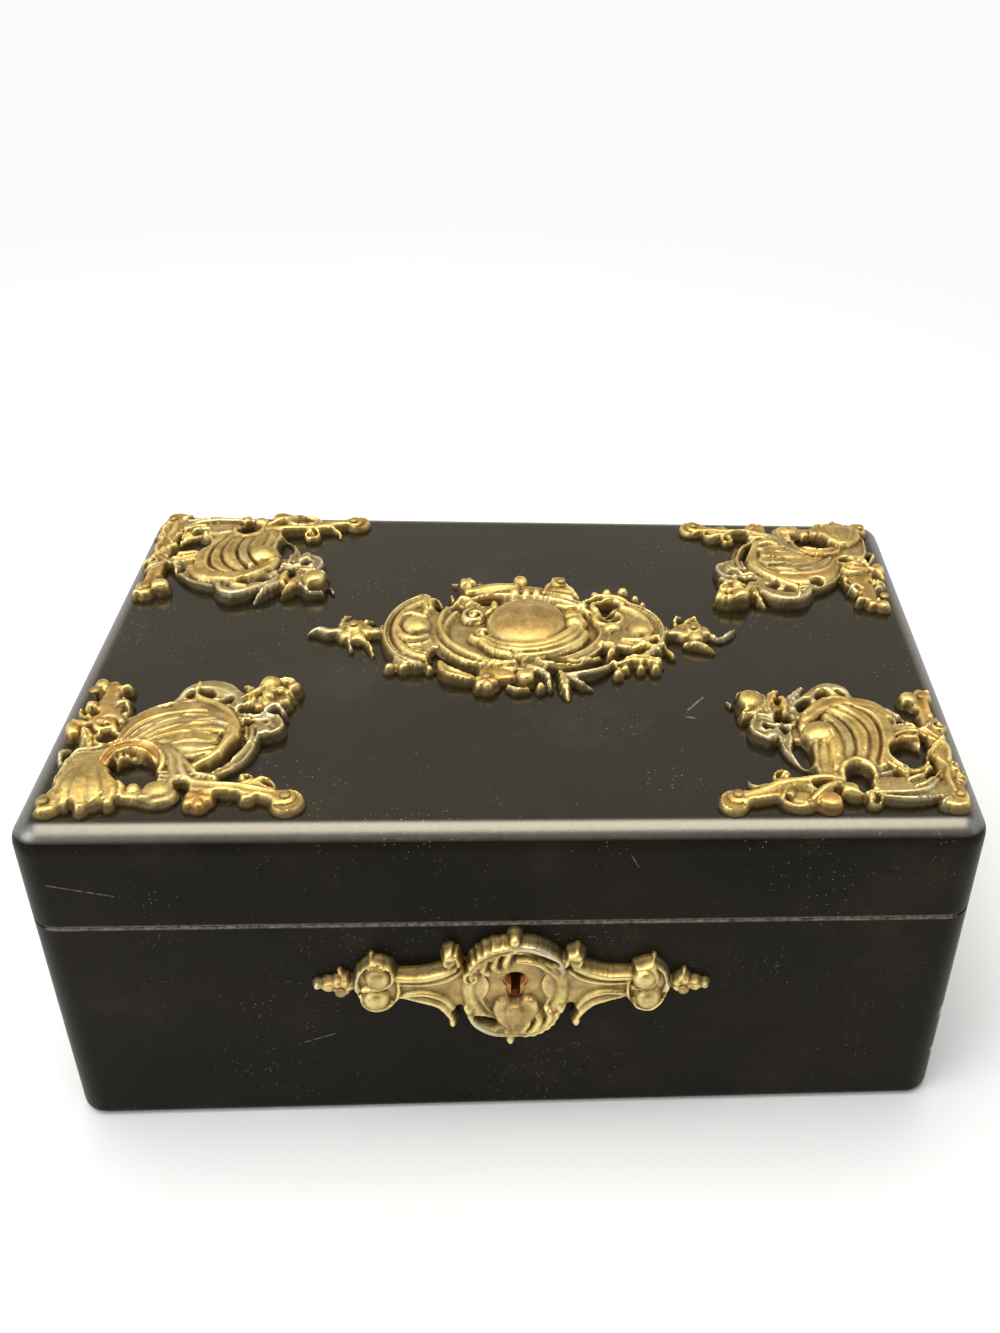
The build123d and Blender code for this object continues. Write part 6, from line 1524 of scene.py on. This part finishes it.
class CASKET_OT_linings(bpy.types.Operator):
    """Wraps the lining cards of the base and the lid in cloth"""

    bl_idname = "casket.linings"
    bl_label = "Lining cards"

    def execute(self, context):
        for part in frame["record"]["subparts"]:
            node = part["node"]
            if "_lining_" not in node:
                continue
            body = "base" if node.startswith("base") else "lid"
            piece = add_piece(welded_copy(node, "wrapped_" + node), part["material_slot"], body, node)
            piece.data.shade_smooth()
            piece.data.set_sharp_from_angle(angle=radians(30))
            bevel = piece.modifiers.new("rounded_card", "BEVEL")
            bevel.width = CARD_ROUND
            bevel.segments = 3
            bevel.limit_method = "ANGLE"
        return {"FINISHED"}


# Pads: how far the card lies inside the solid, its corner rounding, how far the cloth keeps from the
# linings and from its limits, the length over which it rises from its border, its share of the crown,
# and the frames for which it swells
PAD_INSET = 0.8 * MM
PAD_CORNER = 2.4 * MM
PAD_CLEAR = 0.15 * MM
PAD_MARGIN = 0.02 * MM
PAD_SLOPE = 14 * MM
PAD_RISE = 0.8
PAD_FRAMES = 20


def stuffed(node, name, slot_name, body, swell_up):
    """A pad that swells from its card like stuffed cloth, kept clear of the linings round it."""
    settings = bpy.context.scene.casket_pads
    low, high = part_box(node)
    shape = bmesh.new()
    bmesh.ops.create_cube(shape, size=1)
    size = high - low
    middle = (low + high) / 2
    for vertex in shape.verts:
        for axis in range(3):
            vertex.co[axis] = middle[axis] + vertex.co[axis] * (size[axis] - 2 * PAD_INSET)
    corner_edges = [e for e in shape.edges if abs((e.verts[0].co - e.verts[1].co).normalized().z) > 0.9]
    bmesh.ops.bevel(shape, geom=corner_edges, offset=PAD_CORNER, segments=4, affect="EDGES", profile=0.5)
    mesh = bpy.data.meshes.new(name)
    shape.to_mesh(mesh)
    shape.free()
    piece = bpy.data.objects.new(name, mesh)
    bpy.context.scene.collection.objects.link(piece)
    remesh = piece.modifiers.new("cloth_step", "REMESH")
    remesh.mode = "VOXEL"
    remesh.voxel_size = settings.voxel
    piece.data = bpy.data.meshes.new_from_object(piece.evaluated_get(bpy.context.evaluated_depsgraph_get()))
    piece.modifiers.clear()
    face_height = high.z - PAD_INSET if swell_up else low.z + PAD_INSET
    held = piece.vertex_groups.new(name="held")
    for vertex in piece.data.vertices:
        from_x = size.x / 2 - abs(vertex.co.x - middle.x)
        from_y = size.y / 2 - abs(vertex.co.y - middle.y)
        from_side = min(from_x, from_y) - PAD_INSET
        from_face = abs(vertex.co.z - face_height)
        if from_side < 0.5 * settings.voxel or from_face > 0.5 * settings.voxel:
            held.add([vertex.index], 1.0, "REPLACE")
    swelling = piece.modifiers.new("swelling", "CLOTH")
    swelling.settings.vertex_group_mass = "held"
    swelling.settings.use_pressure = True
    swelling.settings.uniform_pressure_force = settings.pressure
    swelling.settings.effector_weights.gravity = 0
    swelling.point_cache.frame_start = 1
    swelling.point_cache.frame_end = PAD_FRAMES
    for step in range(1, PAD_FRAMES + 1):
        bpy.context.scene.frame_set(step)
    smooth = piece.modifiers.new("soft", "SUBSURF")
    smooth.levels = 1
    smooth.render_levels = 1
    made = bpy.data.meshes.new_from_object(piece.evaluated_get(bpy.context.evaluated_depsgraph_get()))
    bpy.data.objects.remove(piece)
    bpy.context.scene.frame_set(1)
    made.name = name
    top_limit = high.z + (settings.crown if swell_up else 0)
    bottom_limit = low.z - (0 if swell_up else settings.crown)
    for vertex in made.vertices:
        point = vertex.co
        point.x = min(max(point.x, low.x + PAD_CLEAR), high.x - PAD_CLEAR)
        point.y = min(max(point.y, low.y + PAD_CLEAR), high.y - PAD_CLEAR)
        inwards = min(1, (high.x - abs(point.x)) / PAD_SLOPE) * min(1, (high.y - abs(point.y)) / PAD_SLOPE)
        crown = settings.crown * (1 - (1 - max(inwards, 0)) ** 2)
        if swell_up and point.z > middle.z:
            point.z = min(point.z + crown * PAD_RISE, top_limit)
        if not swell_up and point.z < middle.z:
            point.z = max(point.z - crown * PAD_RISE, bottom_limit)
        point.z = min(max(point.z, bottom_limit + PAD_MARGIN), top_limit - PAD_MARGIN)
    made.shade_smooth()
    pad = add_piece(made, slot_name, body, node)


class CASKET_OT_pads(bpy.types.Operator):
    """Stuffs the velvet pad of the floor and the satin pad of the lid"""

    bl_idname = "casket.pads"
    bl_label = "Pads"

    def execute(self, context):
        stuffed("floor_pad", "stuffed_floor_pad", "velvet", "base", True)
        stuffed("lid_pad", "stuffed_lid_pad", "satin", "lid", False)
        return {"FINISHED"}


# The camera, as found from the corners of the case in the photograph
PHOTO_WIDTH = 1000
PHOTO_HEIGHT = 1333
LENS_PIXELS = 1331.0
PRINCIPAL_POINT = (670.0, 588.0)
CAMERA_PLACE = Vector((8.135, -328.655, 345.125)) * MM
CAMERA_PITCH = 32.91
CAMERA_YAW = 6.2
CAMERA_ROLL = 3.89
SENSOR = 36.0


def photo_camera():
    looking = Matrix(((1, 0, 0), (0, 0, -1), (0, 1, 0)))
    pitch = Matrix.Rotation(radians(CAMERA_PITCH), 3, "X")
    yaw = Matrix.Rotation(radians(CAMERA_YAW), 3, "Z")
    roll = Matrix.Rotation(radians(CAMERA_ROLL), 3, "Z")
    seen = roll @ pitch @ looking @ yaw
    data = bpy.data.cameras.new("photo_camera")
    data.sensor_fit = "AUTO"
    data.sensor_width = SENSOR
    data.lens = LENS_PIXELS / PHOTO_HEIGHT * SENSOR
    data.shift_x = (PHOTO_WIDTH / 2 - PRINCIPAL_POINT[0]) / PHOTO_HEIGHT
    data.shift_y = (PRINCIPAL_POINT[1] - PHOTO_HEIGHT / 2) / PHOTO_HEIGHT
    data.clip_start = 0.01
    data.clip_end = 50
    camera = bpy.data.objects.new("photo_camera", data)
    turn = Matrix((seen[0], -seen[1], -seen[2])).transposed()
    camera.matrix_world = Matrix.Translation(CAMERA_PLACE) @ turn.to_4x4()
    bpy.context.scene.collection.objects.link(camera)
    bpy.context.scene.camera = camera


def flat_panel(name, corners, material):
    """A stage panel between four corners."""
    mesh = bpy.data.meshes.new(name)
    mesh.from_pydata(corners, [], [(0, 1, 2, 3)])
    mesh.materials.append(material)
    panel = bpy.data.objects.new(name, mesh)
    bpy.context.scene.collection.objects.link(panel)
    return panel


def glowing(name, colour, strength):
    """A plain glow of one colour."""
    recipe = Recipe(name)
    recipe.tree.nodes.remove(recipe.shader)
    glow = recipe.node("ShaderNodeEmission")
    glow.inputs["Color"].default_value = (*colour, 1)
    glow.inputs["Strength"].default_value = strength
    recipe.link(glow.outputs[0], recipe.output.inputs["Surface"])
    return recipe.material


def reflection_only(panel):
    """The panel shows in polished surfaces and casts no light or shadow of its own."""
    panel.visible_camera = False
    panel.visible_diffuse = False
    panel.visible_shadow = False
    panel.visible_transmission = False


def area_lamp(name, place, aim, size, power, colour):
    data = bpy.data.lights.new(name, "AREA")
    data.shape = "RECTANGLE"
    data.size, data.size_y = size
    data.energy = power
    data.color = colour
    lamp = bpy.data.objects.new(name, data)
    lamp.location = place
    lamp.rotation_euler = (Vector(aim) - Vector(place)).to_track_quat("-Z", "Y").to_euler()
    bpy.context.scene.collection.objects.link(lamp)
    return lamp


def studio_world(room_light):
    """White where the camera, polish or glass sees it, and an even soft light elsewhere."""
    world = bpy.data.worlds.new("studio")
    world.use_nodes = True
    tree = world.node_tree
    tree.nodes.clear()
    rays = tree.nodes.new("ShaderNodeLightPath").outputs
    shown = rays["Is Camera Ray"]
    for ray in ("Is Glossy Ray", "Is Transmission Ray"):
        either = tree.nodes.new("ShaderNodeMath")
        either.operation = "MAXIMUM"
        tree.links.new(shown, either.inputs[0])
        tree.links.new(rays[ray], either.inputs[1])
        shown = either.outputs[0]
    strength = tree.nodes.new("ShaderNodeMapRange")
    tree.links.new(shown, strength.inputs["Value"])
    strength.inputs["To Min"].default_value = room_light
    strength.inputs["To Max"].default_value = 1.0
    background = tree.nodes.new("ShaderNodeBackground")
    background.inputs["Color"].default_value = (1, 1, 1, 1)
    tree.links.new(strength.outputs[0], background.inputs["Strength"])
    output = tree.nodes.new("ShaderNodeOutputWorld")
    tree.links.new(background.outputs[0], output.inputs["Surface"])
    return world


def pale_floor():
    """A pale floor that keeps the shadow near the casket and turns to plain white further off."""
    floor = Recipe("pale_floor")
    shade = floor.spread(floor.noise(3, 2), 0.3, 0.7, 0.86, 0.9)
    tone = floor.ramp(shade, (0.0, (0, 0, 0)), (1.0, (1, 1, 1)))
    floor.finish(tone, 0.9, [(floor.noise(400, 2), 0.02, 0.0005)], Specular_IOR_Level=0.1)
    rays = floor.node("ShaderNodeLightPath").outputs
    shown = floor.sums("MAXIMUM", rays["Is Camera Ray"], rays["Is Glossy Ray"])
    shown = floor.sums("MAXIMUM", shown, rays["Is Transmission Ray"])
    distance = floor.node("ShaderNodeVectorMath", operation="LENGTH")
    floor.link(floor.place, distance.inputs[0])
    white = floor.node("ShaderNodeEmission")
    white.inputs["Strength"].default_value = FLOOR_WHITE
    blend = floor.node("ShaderNodeMixShader")
    far = floor.spread(distance.outputs["Value"], *SHADOW_REACH)
    floor.link(floor.sums("MULTIPLY", shown, far), blend.inputs[0])
    floor.link(floor.shader.outputs[0], blend.inputs[1])
    floor.link(white.outputs[0], blend.inputs[2])
    floor.link(blend.outputs[0], floor.output.inputs["Surface"])
    return floor.material


# White of the far floor, and between which distances from the casket the floor turns to it
FLOOR_WHITE = 0.96
SHADOW_REACH = (0.28, 0.8)

# Lamps, in metres: what they aim at, and their place and size
LAMP_AIM = (0, 0, 0.05)
OVERHEAD_PLACE = (-0.15, 0.05, 1.3)
OVERHEAD_SIZE = (1.1, 0.9)
SIDE_PLACE = (-1.1, -0.7, 0.9)
SIDE_SIZE = (0.8, 0.8)

# Plain panels that only polish and metal reflect: name, corners in metres, colour and strength
PANELS = [
    ("softbox", [(-0.9, -1.0, 1.6), (0.9, -1.0, 1.6), (0.9, 0.45, 1.6), (-0.9, 0.45, 1.6)],
     (1, 0.9, 0.7), 4.2),
    ("backdrop", [(-2, 1.5, 0.3), (2, 1.5, 0.3), (2, 1.5, 9), (-2, 1.5, 9)], (0.85, 0.75, 0.6), 0.9),
    ("flag", [(-2, -1.3, 0.3), (2, -1.3, 0.3), (2, -1.3, 4.2), (-2, -1.3, 4.2)], (0.1, 0.1, 0.09), 0.6),
]


class CASKET_OT_stage(bpy.types.Operator):
    """Sets the camera, the pale floor, the lamps and the panels that the polish reflects"""

    bl_idname = "casket.stage"
    bl_label = "Stage"

    def execute(self, context):
        settings = context.scene.casket_stage
        context.scene.view_settings.view_transform = "Standard"
        photo_camera()

        half = settings.floor_size / 2
        corners = [(-half, -half, 0), (half, -half, 0), (half, half, 0), (-half, half, 0)]
        flat_panel("floor", corners, pale_floor())
        context.scene.world = studio_world(settings.room_light)

        overhead = area_lamp(
            "overhead", OVERHEAD_PLACE, LAMP_AIM, OVERHEAD_SIZE, settings.key_power, (1, 0.98, 0.94))
        overhead.visible_glossy = False
        area_lamp("side", SIDE_PLACE, LAMP_AIM, SIDE_SIZE, settings.fill_power, (0.95, 0.98, 1))

        for name, corners, colour, strength in PANELS:
            reflection_only(flat_panel(name, corners, glowing(name, colour, strength)))
        return {"FINISHED"}


class CASKET_PT_panel(bpy.types.Panel):
    """The steps that dress the casket"""

    bl_idname = "CASKET_PT_panel"
    bl_label = "Casket"
    bl_space_type = "VIEW_3D"
    bl_region_type = "UI"
    bl_category = "Casket"

    def draw(self, context):
        for step in STEPS:
            self.layout.operator(step.bl_idname)
        for group in GROUPS:
            box = self.layout.box()
            settings = getattr(context.scene, group)
            for name in settings.bl_rna.properties.keys():
                if name not in ("rna_type", "name"):
                    box.prop(settings, name)


GROUPS = {
    "casket_mounts": CasketMountSettings,
    "casket_finishes": CasketFinishSettings,
    "casket_fasteners": CasketFastenerSettings,
    "casket_pads": CasketPadSettings,
    "casket_stage": CasketStageSettings,
}
STEPS = [
    CASKET_OT_stage,
    CASKET_OT_case,
    CASKET_OT_corner_mounts,
    CASKET_OT_cartouche,
    CASKET_OT_escutcheon,
    CASKET_OT_fasteners,
    CASKET_OT_linings,
    CASKET_OT_pads,
]


def register():
    for kind in [*GROUPS.values(), *STEPS, CASKET_PT_panel]:
        bpy.utils.register_class(kind)
    for name, kind in GROUPS.items():
        setattr(bpy.types.Scene, name, bpy.props.PointerProperty(type=kind))


def unregister():
    for name in GROUPS:
        delattr(bpy.types.Scene, name)
    for kind in reversed([*GROUPS.values(), *STEPS, CASKET_PT_panel]):
        bpy.utils.unregister_class(kind)


def main():
    register()
    for step in STEPS:
        group, name = step.bl_idname.split(".")
        getattr(getattr(bpy.ops, group), name)()


if __name__ == "__main__":
    main()
